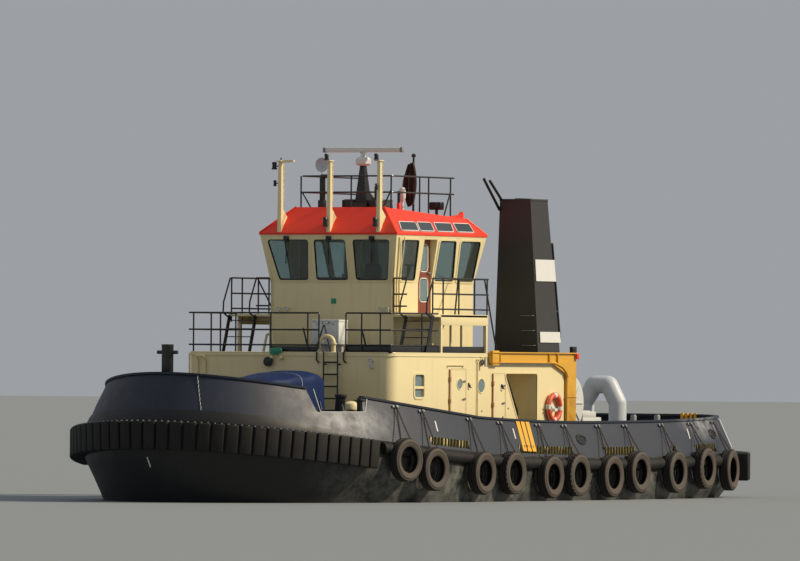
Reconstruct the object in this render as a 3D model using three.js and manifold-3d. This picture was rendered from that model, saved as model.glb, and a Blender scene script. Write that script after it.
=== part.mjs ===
// Harbour tugboat, 26 m long, afloat. Millimetres, +X to the bow, +Y to port, +Z up.
// The origin is on the waterline, amidships, on the centreline.
import * as THREE from 'three';
import { mergeVertices } from 'three/addons/utils/BufferGeometryUtils.js';
import Module from 'manifold-3d';

const wasm = await Module();
wasm.setup();

// Driving dimensions
const GAP = 0.3;
const HALF_BEAM = 4400;
const STEM_X = 12900;
const TRANSOM_X = -13000;
const WIDEST_X = 3000;
const SHEER_LOW_X = -2500;
const SHEER_LOW_Z = 1080;
const SHEER_BOW_RISE = 950;
const SHEER_STERN_RISE = 160;
const BULWARK_HEIGHT = 930;
const BULWARK_BOW_EXTRA = 240;
const BULWARK_RISE_START = 3500;
const BULWARK_LEAN = 0.45;
const BULWARK_WALL = 60;
const RAIL_CAP = 130;

const HOUSE_FRONT = 6100;
const HOUSE_AFT = -3000;
const HOUSE_HALF = 2950;
const HOUSE_WALL = 80;
const HOUSE_CORNER = 350;
const BRIDGE_DECK_Z = 3680;
const BRIDGE_DECK_PLATE = 70;

const WHEEL_FRONT = 3880;
const WHEEL_AFT = -270;
const WHEEL_HALF = 1770;
const WHEEL_WALL = 80;
const SILL_Z = 5450;
const BROW_Z = 6660;
const BROW_FRONT = 4100;
const BROW_AFT = -600;
const BROW_HALF = 1970;
const ROOF_TOP_Z = 7360;
const ROOF_TOP_AFT_Z = 7120;
const ROOF_TOP_FRONT = 3500;
const ROOF_TOP_AFT = -170;
const ROOF_TOP_HALF = 1270;
const ROOF_TOP_AFT_HALF = 1600;
const WHEEL_FLOOR_Z = 4660;

const PROP_X = -9600;
const PROP_Y = 1750;
const PROP_Z = -1950;
const PROP_RADIUS = 1000;

const RAIL_TUBE = 45;

// Finishes: name, colour, roughness, metalness
const finish = {};
const finishTable = [
  ['hullBlack', 0x14151a, 0.45, 0.1],
  ['bulwarkGrey', 0x2a2d33, 0.45, 0.1],
  ['rubber', 0x161616, 0.85, 0],
  ['cream', 0xe6d2a2, 0.45, 0.1],
  ['roofRed', 0xe0452c, 0.45, 0.1],
  ['blackPaint', 0x141414, 0.4, 0.2],
  ['maroon', 0x6e3426, 0.4, 0],
  ['yellow', 0xe0a32e, 0.4, 0.1],
  ['grey', 0x6c6e70, 0.5, 0.2],
  ['white', 0xd9dad8, 0.4, 0],
  ['glass', 0x5c7a80, 0.05, 0],
  ['blueCover', 0x1c3272, 0.8, 0],
  ['bronze', 0x9c7440, 0.3, 0.9],
  ['lifeRed', 0xc93a26, 0.6, 0],
  ['console', 0x3a3d40, 0.6, 0],
];
for (const [name, color, roughness, metalness] of finishTable) {
  finish[name] = new THREE.MeshStandardMaterial({ color, roughness, metalness });
}

const tug = new THREE.Group();

// A closed three.js geometry as a solid that can be joined and cut
function solid(geometry) {
  const bare = geometry.index ? geometry.toNonIndexed() : geometry.clone();
  for (const name of Object.keys(bare.attributes)) {
    if (name !== 'position') bare.deleteAttribute(name);
  }
  const merged = mergeVertices(bare, 0.01);
  const kept = [];
  const index = merged.index.array;
  for (let i = 0; i < index.length; i += 3) {
    const [a, b, c] = [index[i], index[i + 1], index[i + 2]];
    if (a !== b && b !== c && c !== a) kept.push(a, b, c);
  }
  const vertProperties = new Float32Array(merged.attributes.position.array);
  return new wasm.Manifold(new wasm.Mesh({
    numProp: 3, vertProperties, triVerts: new Uint32Array(kept),
  }));
}

// A solid back as a named mesh of the boat
function add(name, body, material) {
  const mesh = body.getMesh();
  const geometry = new THREE.BufferGeometry();
  geometry.setAttribute('position', new THREE.BufferAttribute(mesh.vertProperties, 3));
  geometry.setIndex(new THREE.BufferAttribute(mesh.triVerts, 1));
  geometry.computeVertexNormals();
  const piece = new THREE.Mesh(geometry, finish[material]);
  piece.name = name;
  tug.add(piece);
}

function join(bodies) {
  return bodies.reduce((whole, body) => whole.add(body));
}

function mirrored(body) {
  return body.mirror([0, 1, 0]);
}

// An upright box between two corners
function box(x0, x1, y0, y1, z0, z1) {
  const geometry = new THREE.BoxGeometry(Math.abs(x1 - x0), Math.abs(y1 - y0), Math.abs(z1 - z0));
  geometry.translate((x0 + x1) / 2, (y0 + y1) / 2, (z0 + z1) / 2);
  return solid(geometry);
}

// A round bar between two points
function bar(from, to, radius, sides = 8) {
  const a = new THREE.Vector3(...from);
  const b = new THREE.Vector3(...to);
  const geometry = new THREE.CylinderGeometry(radius, radius, a.distanceTo(b), sides);
  const turn = new THREE.Quaternion();
  turn.setFromUnitVectors(new THREE.Vector3(0, 1, 0), b.clone().sub(a).normalize());
  geometry.applyQuaternion(turn);
  const middle = a.add(b).multiplyScalar(0.5);
  geometry.translate(middle.x, middle.y, middle.z);
  return solid(geometry);
}

// A run of round bars through a list of points
function bars(points, radius, sides = 4) {
  const made = [];
  for (let i = 1; i < points.length; i += 1) made.push(bar(points[i - 1], points[i], radius, sides));
  return join(made);
}

// An outline in the X-Z plane, pushed from y0 to y1
function sidePrism(outline, y0, y1) {
  const shape = new THREE.Shape(outline.map(([x, z]) => new THREE.Vector2(x, z)));
  const geometry = new THREE.ExtrudeGeometry(shape, { depth: y1 - y0, bevelEnabled: false });
  geometry.rotateX(Math.PI / 2);
  geometry.translate(0, y1, 0);
  return solid(geometry);
}

// An outline in the Y-Z plane, pushed from x0 to x1
function frontPrism(outline, x0, x1) {
  const shape = new THREE.Shape(outline.map(([y, z]) => new THREE.Vector2(y, z)));
  const geometry = new THREE.ExtrudeGeometry(shape, { depth: x1 - x0, bevelEnabled: false });
  geometry.rotateX(Math.PI / 2);
  geometry.rotateZ(Math.PI / 2);
  geometry.translate(x0, 0, 0);
  return solid(geometry);
}

// A plan outline pushed from z0 to z1
function planPrism(shape, z0, z1, curveSegments = 6) {
  const geometry = new THREE.ExtrudeGeometry(shape, {
    depth: z1 - z0, bevelEnabled: false, curveSegments,
  });
  geometry.translate(0, 0, z0);
  return solid(geometry);
}

// A body through rings of points, all with the same count. Each ring starts on the plane of
// symmetry, and its second half mirrors its first.
function loft(rings) {
  const count = rings[0].length;
  const vertices = rings.flat(2);
  const triangles = [];
  for (let r = 0; r + 1 < rings.length; r += 1) {
    for (let i = 0; i < count; i += 1) {
      const j = (i + 1) % count;
      const [a, b] = [r * count + i, r * count + j];
      if (i < count / 2) triangles.push(a, b, b + count, a, b + count, a + count);
      else triangles.push(a, b, a + count, b, b + count, a + count);
    }
  }
  const last = (rings.length - 1) * count;
  for (let i = 0; i < count / 2; i += 1) {
    const [a, b, c, d] = [i, i + 1, (count - i - 1) % count, (count - i) % count];
    for (const [p, q, s] of [[a, b, c], [a, c, d]]) {
      if (p === q || q === s || s === p) continue;
      triangles.push(s, q, p, last + p, last + q, last + s);
    }
  }
  const geometry = new THREE.BufferGeometry();
  geometry.setAttribute('position', new THREE.Float32BufferAttribute(vertices, 3));
  geometry.setIndex(triangles);
  return solid(geometry);
}

// A section carried along a path of points [x, y, outwardX, outwardY]; the section gives
// [outward, z] pairs for each path point
function sweep(path, section) {
  const outline = section(path[0]).map(([out, z]) => new THREE.Vector2(out, z));
  const clockwise = THREE.ShapeUtils.isClockWise(outline);
  const ordered = (pairs) => (clockwise ? pairs.slice().reverse() : pairs);
  const rings = path.map((point) => ordered(section(point)).map(([out, z]) => [
    point[0] + point[2] * out, point[1] + point[3] * out, z,
  ]));
  const count = rings[0].length;
  const triangles = [];
  for (let r = 0; r + 1 < rings.length; r += 1) {
    for (let i = 0; i < count; i += 1) {
      const j = (i + 1) % count;
      const [a, b] = [r * count + i, r * count + j];
      triangles.push(a, b + count, b, a, a + count, b + count);
    }
  }
  const last = (rings.length - 1) * count;
  for (const [a, b, c] of THREE.ShapeUtils.triangulateShape(ordered(outline), [])) {
    triangles.push(a, b, c, last + a, last + c, last + b);
  }
  const geometry = new THREE.BufferGeometry();
  geometry.setAttribute('position', new THREE.Float32BufferAttribute(rings.flat(2), 3));
  geometry.setIndex(triangles);
  return solid(geometry);
}

// Hull lines

function sheer(x) {
  const ahead = (x - SHEER_LOW_X) / (STEM_X + 100 - SHEER_LOW_X);
  const behind = (SHEER_LOW_X - x) / (SHEER_LOW_X - TRANSOM_X);
  if (ahead > 0) return SHEER_LOW_Z + SHEER_BOW_RISE * ahead ** 2.1;
  return SHEER_LOW_Z + SHEER_STERN_RISE * behind ** 2;
}

function rimHeight(x) {
  const bow = Math.max(0, (x - BULWARK_RISE_START) / (STEM_X - BULWARK_RISE_START));
  return BULWARK_HEIGHT + BULWARK_BOW_EXTRA * bow ** 0.8;
}

// Half an outline in plan, from the stem round the port side to the transom
const BOW_STEPS = 16;
const STERN_STEPS = 14;
function halfOutline(line) {
  const points = [];
  for (let i = 0; i <= BOW_STEPS; i += 1) {
    const t = (i / BOW_STEPS) * Math.PI / 2;
    points.push([
      WIDEST_X + (line.bow - WIDEST_X) * Math.cos(t) ** (2 / line.bowFull),
      line.half * Math.sin(t),
    ]);
  }
  for (let i = 1; i <= STERN_STEPS; i += 1) {
    const t = (i / STERN_STEPS) * Math.PI / 2;
    points.push([
      WIDEST_X - (WIDEST_X - line.stern) * Math.sin(t) ** (2 / line.sternFull),
      line.half * Math.cos(t) ** (2 / line.sternSquare),
    ]);
  }
  points[0][1] = 0;
  points[points.length - 1][1] = 0;
  return points;
}

const deckLine = {
  bow: STEM_X, stern: TRANSOM_X, half: HALF_BEAM, bowFull: 2.85, sternFull: 5, sternSquare: 4,
};

// Level, stem, stern end, half breadth, fullness forward, fullness and squareness aft
const hullLevels = [
  { z: -2600, bow: 9000, stern: -4600, half: 2300, bowFull: 2.0, sternFull: 2.0, sternSquare: 2 },
  { z: -2250, bow: 10400, stern: -5600, half: 3300, bowFull: 2.0, sternFull: 2.2, sternSquare: 2 },
  { z: -1500, bow: 11500, stern: -7000, half: 4000, bowFull: 2.1, sternFull: 2.6, sternSquare: 2.4 },
  { z: -750, bow: 12100, stern: -9300, half: 4250, bowFull: 2.1, sternFull: 3.2, sternSquare: 2.8 },
  { z: -350, bow: 12300, stern: -11600, half: 4320, bowFull: 2.1, sternFull: 3.8, sternSquare: 3.2 },
  { z: 0, bow: 12450, stern: -12500, half: 4350, bowFull: 2.1, sternFull: 4.4, sternSquare: 3.6 },
];

function ring(points, height) {
  const port = points.map(([x, y]) => [x, y, height(x)]);
  const starboard = points.slice(1, -1).reverse().map(([x, y]) => [x, -y, height(x)]);
  return [...port, ...starboard];
}

const hullRings = hullLevels.map((level) => ring(halfOutline(level), () => level.z));
// The topsides stand upright behind the fenders, and draw in below this line
const UPRIGHT_SIDE = 700;
hullRings.push(ring(halfOutline(deckLine), (x) => sheer(x) - UPRIGHT_SIDE));
hullRings.push(ring(halfOutline(deckLine), (x) => sheer(x)));

// The centre skeg under the cut-up stern
const SKEG_HALF = 180;
const SKEG_BOTTOM = -3050;
const skeg = sidePrism([
  [-1500, -2400], [-2500, SKEG_BOTTOM], [-8300, SKEG_BOTTOM], [-8900, -1900], [-8900, -700],
  [-6000, -700],
], -SKEG_HALF, SKEG_HALF);
// Rudder trunks: short tubes that carry the rudder stocks below the hull plating
const RUDDER_X = -10700;
const TRUNK_BOTTOM = -800;
const TRUNK_RADIUS = 170;
const trunks = join([1, -1].map((side) => bar(
  [RUDDER_X, side * PROP_Y, TRUNK_BOTTOM], [RUDDER_X, side * PROP_Y, 300], TRUNK_RADIUS, 16)));
const hull = loft(hullRings).add(skeg).add(trunks);
add('hull', hull, 'hullBlack');
const deckSeat = hull.translate([0, 0, GAP]);

// Half breadth of the deck line and its outward direction at one station
function halfBreadth(x) {
  if (x >= WIDEST_X) {
    const u = (x - WIDEST_X) / (deckLine.bow - WIDEST_X);
    return HALF_BEAM * Math.sqrt(Math.max(0, 1 - u ** deckLine.bowFull));
  }
  const u = (WIDEST_X - x) / (WIDEST_X - deckLine.stern);
  return HALF_BEAM * Math.max(0, 1 - u ** deckLine.sternFull) ** (1 / deckLine.sternSquare);
}

// The deck line with its outward directions, stem to transom on the port side
function deckPath() {
  const points = halfOutline(deckLine);
  return points.map(([x, y], i) => {
    const [x0, y0] = i > 0 ? points[i - 1] : [points[1][0], -points[1][1]];
    const [x1, y1] = i + 1 < points.length ? points[i + 1] : [points[i - 1][0], -points[i - 1][1]];
    const length = Math.hypot(x1 - x0, y1 - y0);
    return [x, y, (y1 - y0) / length, -(x1 - x0) / length];
  });
}

const portPath = deckPath();

// Bulwarks: plate that leans inboard, with a rail cap, one each side, met on the centreline
function bulwarkSection([x]) {
  const foot = sheer(x);
  const rise = rimHeight(x);
  const lean = rise * BULWARK_LEAN;
  return [
    [-30, foot - 40], [-30 - lean, foot + rise - 50], [10 - lean, foot + rise - 50],
    [10 - lean, foot + rise], [-RAIL_CAP - lean, foot + rise], [-RAIL_CAP - lean, foot + rise - 50],
    [-30 - BULWARK_WALL - lean, foot + rise - 50], [-30 - BULWARK_WALL, foot - 40],
  ];
}

const NOTCH_AFT = 8650;
const NOTCH_FRONT = 10150;
const NOTCH_TOP_FRONT = 10200;
const NOTCH_Z = 2230;
const notch = sidePrism([
  [NOTCH_AFT, NOTCH_Z], [NOTCH_FRONT, NOTCH_Z], [NOTCH_TOP_FRONT, 3400], [NOTCH_AFT, 3400],
], 1500, 5200);

// Freeing ports: aft end, forward end
const freeingPorts = [
  [4320, 5950], [-600, 1400], [-4400, -2700], [-6850, -6600], [-9600, -8100],
];
const FREEING_BOTTOM = 60;
const FREEING_HEIGHT = 200;

function bulwark() {
  let plate = sweep(portPath, bulwarkSection);
  plate = plate.subtract(notch);
  for (const [aft, forward] of freeingPorts) {
    const z0 = sheer(aft) + FREEING_BOTTOM;
    const z1 = sheer(forward) + FREEING_BOTTOM;
    const slot = sidePrism([
      [aft, z0], [forward, z1], [forward, z1 + FREEING_HEIGHT], [aft, z0 + FREEING_HEIGHT],
    ], 3300, 5000);
    plate = plate.subtract(slot);
  }
  const centreGap = box(-14000, 14000, -3000, 1, 0, 5000);
  return plate.subtract(centreGap).subtract(deckSeat);
}
const portBulwark = bulwark();
add('bulwark_port', portBulwark, 'bulwarkGrey');
add('bulwark_starboard', mirrored(portBulwark), 'bulwarkGrey');

// A stretch of the deck line between two stations, both sides when it passes the stem or stern
function stretch(keep, wrap) {
  const port = portPath.filter(keep);
  const starboard = port.map(([x, y, ox, oy]) => [x, -y, ox, -oy]).reverse();
  if (wrap === 'bow') return [...starboard.slice(0, -1), ...port];
  if (wrap === 'stern') return [...port, ...starboard.slice(1)];
  return port;
}

// Bow fender: a deep rubber band round the stem, hung just under the deck line
const BOW_FENDER_END = 8850;
const BURIED = 60;
const BELOW_DECK = 25;
const BOW_FENDER_DEPTH = 700;
const BOW_FENDER_THICK = 360;
function bowFenderSection([x]) {
  const top = sheer(x) - BELOW_DECK;
  return [
    [-BURIED, top], [BOW_FENDER_THICK - 40, top], [BOW_FENDER_THICK, top - 60],
    [BOW_FENDER_THICK, top - BOW_FENDER_DEPTH + 60],
    [BOW_FENDER_THICK - 40, top - BOW_FENDER_DEPTH], [-BURIED * 2, top - BOW_FENDER_DEPTH],
  ];
}
const bowFenderPath = stretch(([x]) => x > BOW_FENDER_END, 'bow');
// The hull grown by a hair in plan, which trims what is fastened against its side
const HAIR = 0.5;
const grown = loft(hullRings.map((points, level) => points.map(([x, y, z]) => {
  const length = Math.hypot(x, y * 3);
  const raise = level === hullRings.length - 1 ? 1 : 0;
  return [x + HAIR * x / length, y + HAIR * y * 3 / length, z + raise];
})));
add('bow_fender', sweep(bowFenderPath, bowFenderSection).subtract(grown), 'rubber');

// Stern fender: the same kind of band round the transom
const STERN_FENDER_START = -11000;
const STERN_FENDER_THICK = 420;
function sternFenderSection([x]) {
  const top = sheer(x) - BELOW_DECK;
  return [
    [-BURIED, top], [STERN_FENDER_THICK - 40, top], [STERN_FENDER_THICK, top - 60],
    [STERN_FENDER_THICK, top - 660], [STERN_FENDER_THICK - 40, top - 720],
    [-BURIED * 3, top - 720],
  ];
}
const sternFenderPath = stretch(([x]) => x < STERN_FENDER_START, 'stern');
add('stern_fender', sweep(sternFenderPath, sternFenderSection).subtract(grown), 'rubber');

// Side fenders: a belting along the deck line that carries eleven tyres on short chains
const TYRE_RADIUS = 540;
const TYRE_SECTION = 110;
const BELT_THICK = 170;
const BELT_DEPTH = 330;
// Tyre station and the height of its centre
const tyres = [
  { x: 7940, z: 1060 }, { x: 6670, z: 830 }, { x: 4410, z: 720 }, { x: 2950, z: 720 },
  { x: 940, z: 610 }, { x: -480, z: 650 }, { x: -2300, z: 610 }, { x: -3820, z: 710 },
  { x: -5980, z: 700 }, { x: -7840, z: 790 }, { x: -9600, z: 730 },
];

function tyre({ x, z }) {
  const y = halfBreadth(x);
  const slope = (halfBreadth(x + 50) - halfBreadth(x - 50)) / 100;
  const heading = Math.atan(slope);
  const geometry = new THREE.TorusGeometry(TYRE_RADIUS - TYRE_SECTION, TYRE_SECTION, 6, 16);
  geometry.rotateX(Math.PI / 2);
  geometry.rotateZ(heading);
  const out = BELT_THICK + TYRE_SECTION - 30;
  geometry.translate(x - Math.sin(heading) * out, y + Math.cos(heading) * out, z);
  return solid(geometry);
}

function beltSection([x]) {
  const top = sheer(x) - BELOW_DECK;
  return [
    [-BURIED, top], [BELT_THICK - 50, top], [BELT_THICK, top - 60],
    [BELT_THICK, top - BELT_DEPTH + 60], [BELT_THICK - 50, top - BELT_DEPTH],
    [-BURIED, top - BELT_DEPTH],
  ];
}
const beltPath = portPath.filter(([x]) => x < BOW_FENDER_END + 600 && x > STERN_FENDER_START - 400);
const bowFenderRoom = box(BOW_FENDER_END - 260, 14000, -6000, 6000, -1000, 3000);
const sternFenderRoom = box(-14000, STERN_FENDER_START + 360, -6000, 6000, -1000, 3000);
let portBelt = sweep(beltPath, beltSection).subtract(bowFenderRoom).subtract(sternFenderRoom);
portBelt = portBelt.add(join(tyres.map(tyre))).subtract(grown);
add('side_fender_port', portBelt, 'rubber');
add('side_fender_starboard', mirrored(portBelt), 'rubber');

// Deckhouse: hollow steel walls with rounded forward corners, standing on the sloping deck
function housePlan(inset, frontCorner) {
  const [x0, x1, y] = [HOUSE_AFT + inset, HOUSE_FRONT - inset, HOUSE_HALF - inset];
  const r = frontCorner - inset;
  const shape = new THREE.Shape();
  shape.moveTo(x0, -y);
  shape.lineTo(x1 - r, -y);
  shape.absarc(x1 - r, -y + r, r, -Math.PI / 2, 0);
  shape.lineTo(x1, y - r);
  shape.absarc(x1 - r, y - r, r, 0, Math.PI / 2);
  shape.lineTo(x0, y);
  shape.closePath();
  return shape;
}
const HOUSE_TOP = BRIDGE_DECK_Z - BRIDGE_DECK_PLATE - GAP;
let house = planPrism(housePlan(0, HOUSE_CORNER), 900, HOUSE_TOP)
  .subtract(planPrism(housePlan(HOUSE_WALL, HOUSE_CORNER), 800, HOUSE_TOP + 100));

// Side alcoves with a slanting forward edge, lined inside
const ALCOVE_DEPTH = 1050;
const ALCOVE_TOP = 3200;
const ALCOVE_AFT = -1530;
const alcove = [[180, ALCOVE_TOP], [ALCOVE_AFT, ALCOVE_TOP], [ALCOVE_AFT, 800], [-1150, 800]];
const alcoveLining = [[300, ALCOVE_TOP + 80], [ALCOVE_AFT - 80, ALCOVE_TOP + 80],
  [ALCOVE_AFT - 80, 800], [-1250, 800]];
const liningInner = HOUSE_HALF - ALCOVE_DEPTH;
for (const side of [1, -1]) {
  const [y0, y1] = side > 0 ? [liningInner - 80, HOUSE_HALF - 10] : [-HOUSE_HALF + 10, 80 - liningInner];
  const [c0, c1] = side > 0 ? [liningInner, HOUSE_HALF + 50] : [-HOUSE_HALF - 50, -liningInner];
  house = house.add(sidePrism(alcoveLining.slice().reverse(), y0, y1));
  house = house.subtract(sidePrism(alcove.slice().reverse(), c0, c1));
}

// Deckhouse doors: forward edge, aft edge, sill height, head height
const DOOR_GAP = 8;
const houseDoors = [
  { name: 'forward', front: 3010, aft: 2210, sill: 1700, head: 3310 },
  { name: 'aft', front: 790, aft: 130, sill: 1600, head: 3200 },
];
for (const door of houseDoors) {
  house = house.subtract(box(door.aft, door.front, -4000, 4000, door.sill, door.head));
}
// Side window in two lights, and the window openings of the house front
const houseWindows = [[4430, 4890, 2870, 3150], [4430, 4890, 2600, 2800]];
for (const [x0, x1, z0, z1] of houseWindows) {
  house = house.subtract(box(x0, x1, -4000, 4000, z0, z1));
}
house = house.subtract(deckSeat.add(box(-9000, 9000, -3900, 3900, -1000, 1050)));
add('deckhouse_walls', house, 'cream');

// Deckhouse door leaves, hung on their forward edges, opening outward
const LEAF = 50;
function houseDoor(door) {
  const y = HOUSE_HALF - 5;
  return box(door.aft + DOOR_GAP, door.front - DOOR_GAP, y - LEAF, y,
    door.sill + DOOR_GAP, door.head - DOOR_GAP);
}
for (const door of houseDoors) {
  add(`deckhouse_door_port_${door.name}`, houseDoor(door), 'cream');
  add(`deckhouse_door_starboard_${door.name}`, mirrored(houseDoor(door)), 'cream');
}

// Bridge deck: the plate over the deckhouse
const bridgeDeck = planPrism(housePlan(-20, HOUSE_CORNER), BRIDGE_DECK_Z - BRIDGE_DECK_PLATE, BRIDGE_DECK_Z);
add('bridge_deck', bridgeDeck, 'cream');

// Wheelhouse walls: upright below the sill, leaning out from sill to brow
function wheelRing(x0, x1, y, z) {
  return [[x1, 0, z], [x1, y, z], [x0, y, z], [x0, 0, z], [x0, -y, z], [x1, -y, z]];
}
function wheelSolid(inset, bottom, top) {
  const beyond = (top - SILL_Z) / (BROW_Z - SILL_Z);
  const front = WHEEL_FRONT + (BROW_FRONT - WHEEL_FRONT) * beyond;
  const aft = WHEEL_AFT + (BROW_AFT - WHEEL_AFT) * beyond;
  const half = WHEEL_HALF + (BROW_HALF - WHEEL_HALF) * beyond;
  return loft([
    wheelRing(WHEEL_AFT + inset, WHEEL_FRONT - inset, WHEEL_HALF - inset, bottom),
    wheelRing(WHEEL_AFT + inset, WHEEL_FRONT - inset, WHEEL_HALF - inset, SILL_Z),
    wheelRing(aft + inset, front - inset, half - inset, top),
  ]);
}
const wheelOuter = wheelSolid(0, BRIDGE_DECK_Z + GAP, BROW_Z - GAP);
let wheelhouse = wheelOuter.subtract(wheelSolid(WHEEL_WALL, BRIDGE_DECK_Z - 200, BROW_Z + 200));

// Wheelhouse doors stand upright in a recess in the leaning wall
const WDOOR_FRONT = 2620;
const WDOOR_AFT = 1950;
const WDOOR_SILL = 4700;
const WDOOR_HEAD = 6560;
const WDOOR_OUT = 1745;
for (const side of [1, -1]) {
  const [y0, y1] = side > 0 ? [WDOOR_OUT - 100, BROW_HALF + 50] : [-BROW_HALF - 50, 100 - WDOOR_OUT];
  const frame = box(WDOOR_AFT - 70, WDOOR_FRONT + 70, y0, y1, WDOOR_SILL - 70, WDOOR_HEAD + 70);
  wheelhouse = wheelhouse.add(frame.intersect(wheelOuter));
}
wheelhouse = wheelhouse.subtract(box(WDOOR_AFT, WDOOR_FRONT, -3000, 3000, WDOOR_SILL, WDOOR_HEAD));

// Windows: two corners low and high along the wall, then the heights
const WINDOW_LOW = 5520;
const WINDOW_HIGH = 6540;
const frontWindows = [[-1510, -670, -1780, -580], [-440, 480, -430, 480], [700, 1620, 690, 1760]];
const sideWindows = [[2830, 3540, 2900, 3830], [820, 1840, 960, 1800], [-220, 660, -330, 720]];
const aftWindows = [[-1500, -300, -1600, -300], [300, 1500, 300, 1600]];
for (const [lowA, lowB, highA, highB] of frontWindows) {
  wheelhouse = wheelhouse.subtract(frontPrism(
    [[lowA, WINDOW_LOW], [lowB, WINDOW_LOW], [highB, WINDOW_HIGH], [highA, WINDOW_HIGH]], 3600, 4300));
}
for (const [lowA, lowB, highA, highB] of aftWindows) {
  wheelhouse = wheelhouse.subtract(frontPrism(
    [[lowA, WINDOW_LOW], [lowB, WINDOW_LOW], [highB, WINDOW_HIGH], [highA, WINDOW_HIGH]], -900, -100));
}
for (const [lowA, lowB, highA, highB] of sideWindows) {
  const outline = [[lowA, WINDOW_LOW], [lowB, WINDOW_LOW], [highB, WINDOW_HIGH], [highA, WINDOW_HIGH]];
  wheelhouse = wheelhouse.subtract(sidePrism(outline, 1500, 2300));
  wheelhouse = wheelhouse.subtract(sidePrism(outline, -2300, -1500));
}
add('wheelhouse_walls', wheelhouse, 'cream');

// Wheelhouse glass: a sheet behind each face, parallel to the leaning wall
const GLASS = 10;
const glassLow = WINDOW_LOW - 40;
const glassHigh = WINDOW_HIGH + 40;
function leanAt(z, low, high) {
  return low + (high - low) * (z - SILL_Z) / (BROW_Z - SILL_Z);
}
function glassSheet(low, high, sign) {
  const inset = WHEEL_WALL + GAP;
  const a = leanAt(glassLow, low, high) - sign * inset;
  const b = leanAt(glassHigh, low, high) - sign * inset;
  return [[a, glassLow], [b, glassHigh], [b - sign * GLASS, glassHigh], [a - sign * GLASS, glassLow]];
}
const frontGlass = sidePrism(glassSheet(WHEEL_FRONT, BROW_FRONT, 1), -1600, 1600);
const aftGlass = sidePrism(glassSheet(WHEEL_AFT, BROW_AFT, -1).reverse(), -1600, 1600);
add('wheelhouse_glass_front', frontGlass, 'glass');
add('wheelhouse_glass_aft', aftGlass, 'glass');
const sideGlassOutline = glassSheet(WHEEL_HALF, BROW_HALF, 1);
const aftPane = frontPrism(sideGlassOutline, -180, 1860);
const forwardPane = frontPrism(sideGlassOutline, 2700, 3650);
add('wheelhouse_glass_port_aft', aftPane, 'glass');
add('wheelhouse_glass_starboard_aft', mirrored(aftPane), 'glass');
add('wheelhouse_glass_port_forward', forwardPane, 'glass');
add('wheelhouse_glass_starboard_forward', mirrored(forwardPane), 'glass');

// Wheelhouse roof: a low hipped cap with a small overhang at the brow
function roofRing(front, aft, frontHalf, aftHalf, frontZ, aftZ) {
  return [[front, 0, frontZ], [front, frontHalf, frontZ], [aft, aftHalf, aftZ], [aft, 0, aftZ],
    [aft, -aftHalf, aftZ], [front, -frontHalf, frontZ]];
}
const browHalf = BROW_HALF + 20;
const roof = loft([
  roofRing(BROW_FRONT + 20, BROW_AFT - 20, browHalf, browHalf, BROW_Z, BROW_Z),
  roofRing(BROW_FRONT + 20, BROW_AFT - 20, browHalf, browHalf, BROW_Z + 40, BROW_Z + 40),
  roofRing(ROOF_TOP_FRONT, ROOF_TOP_AFT, ROOF_TOP_HALF, ROOF_TOP_AFT_HALF, ROOF_TOP_Z, ROOF_TOP_AFT_Z),
]);
add('wheelhouse_roof', roof, 'roofRed');

// Wheelhouse doors, hung on their forward edges
const wheelDoor = box(WDOOR_AFT + DOOR_GAP, WDOOR_FRONT - DOOR_GAP, WDOOR_OUT - 45, WDOOR_OUT,
  WDOOR_SILL + DOOR_GAP, WDOOR_HEAD - DOOR_GAP);
add('wheelhouse_door_port', wheelDoor, 'maroon');
add('wheelhouse_door_starboard', mirrored(wheelDoor), 'maroon');

// Wheelhouse floor, steering console and helm chair
const floorFront = WHEEL_FRONT - WHEEL_WALL - GAP;
const floorAft = WHEEL_AFT + WHEEL_WALL + GAP;
const floorHalf = WDOOR_OUT - 105;
const floor = box(floorAft, floorFront, -floorHalf, floorHalf, WHEEL_FLOOR_Z - 60, WHEEL_FLOOR_Z)
  .add(box(1500, 1600, -floorHalf, floorHalf, BRIDGE_DECK_Z + GAP, WHEEL_FLOOR_Z - 30));
add('wheelhouse_floor', floor, 'grey');
const consoleBody = sidePrism([
  [2900, WHEEL_FLOOR_Z + GAP], [3600, WHEEL_FLOOR_Z + GAP], [3600, 5560], [3350, 5600], [2900, 5430],
], -900, 900);
add('steering_console', consoleBody, 'console');
const chair = join([
  bar([2100, 0, WHEEL_FLOOR_Z + GAP], [2100, 0, 5150], 60, 10),
  bar([2100, 0, WHEEL_FLOOR_Z + GAP], [2100, 0, WHEEL_FLOOR_Z + 40], 240, 12),
  box(1840, 2360, -260, 260, 5120, 5240),
  sidePrism([[1740, 5200], [1860, 5200], [1780, 6000], [1660, 6000]], -250, 250),
]);
add('helm_chair', chair, 'console');

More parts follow.
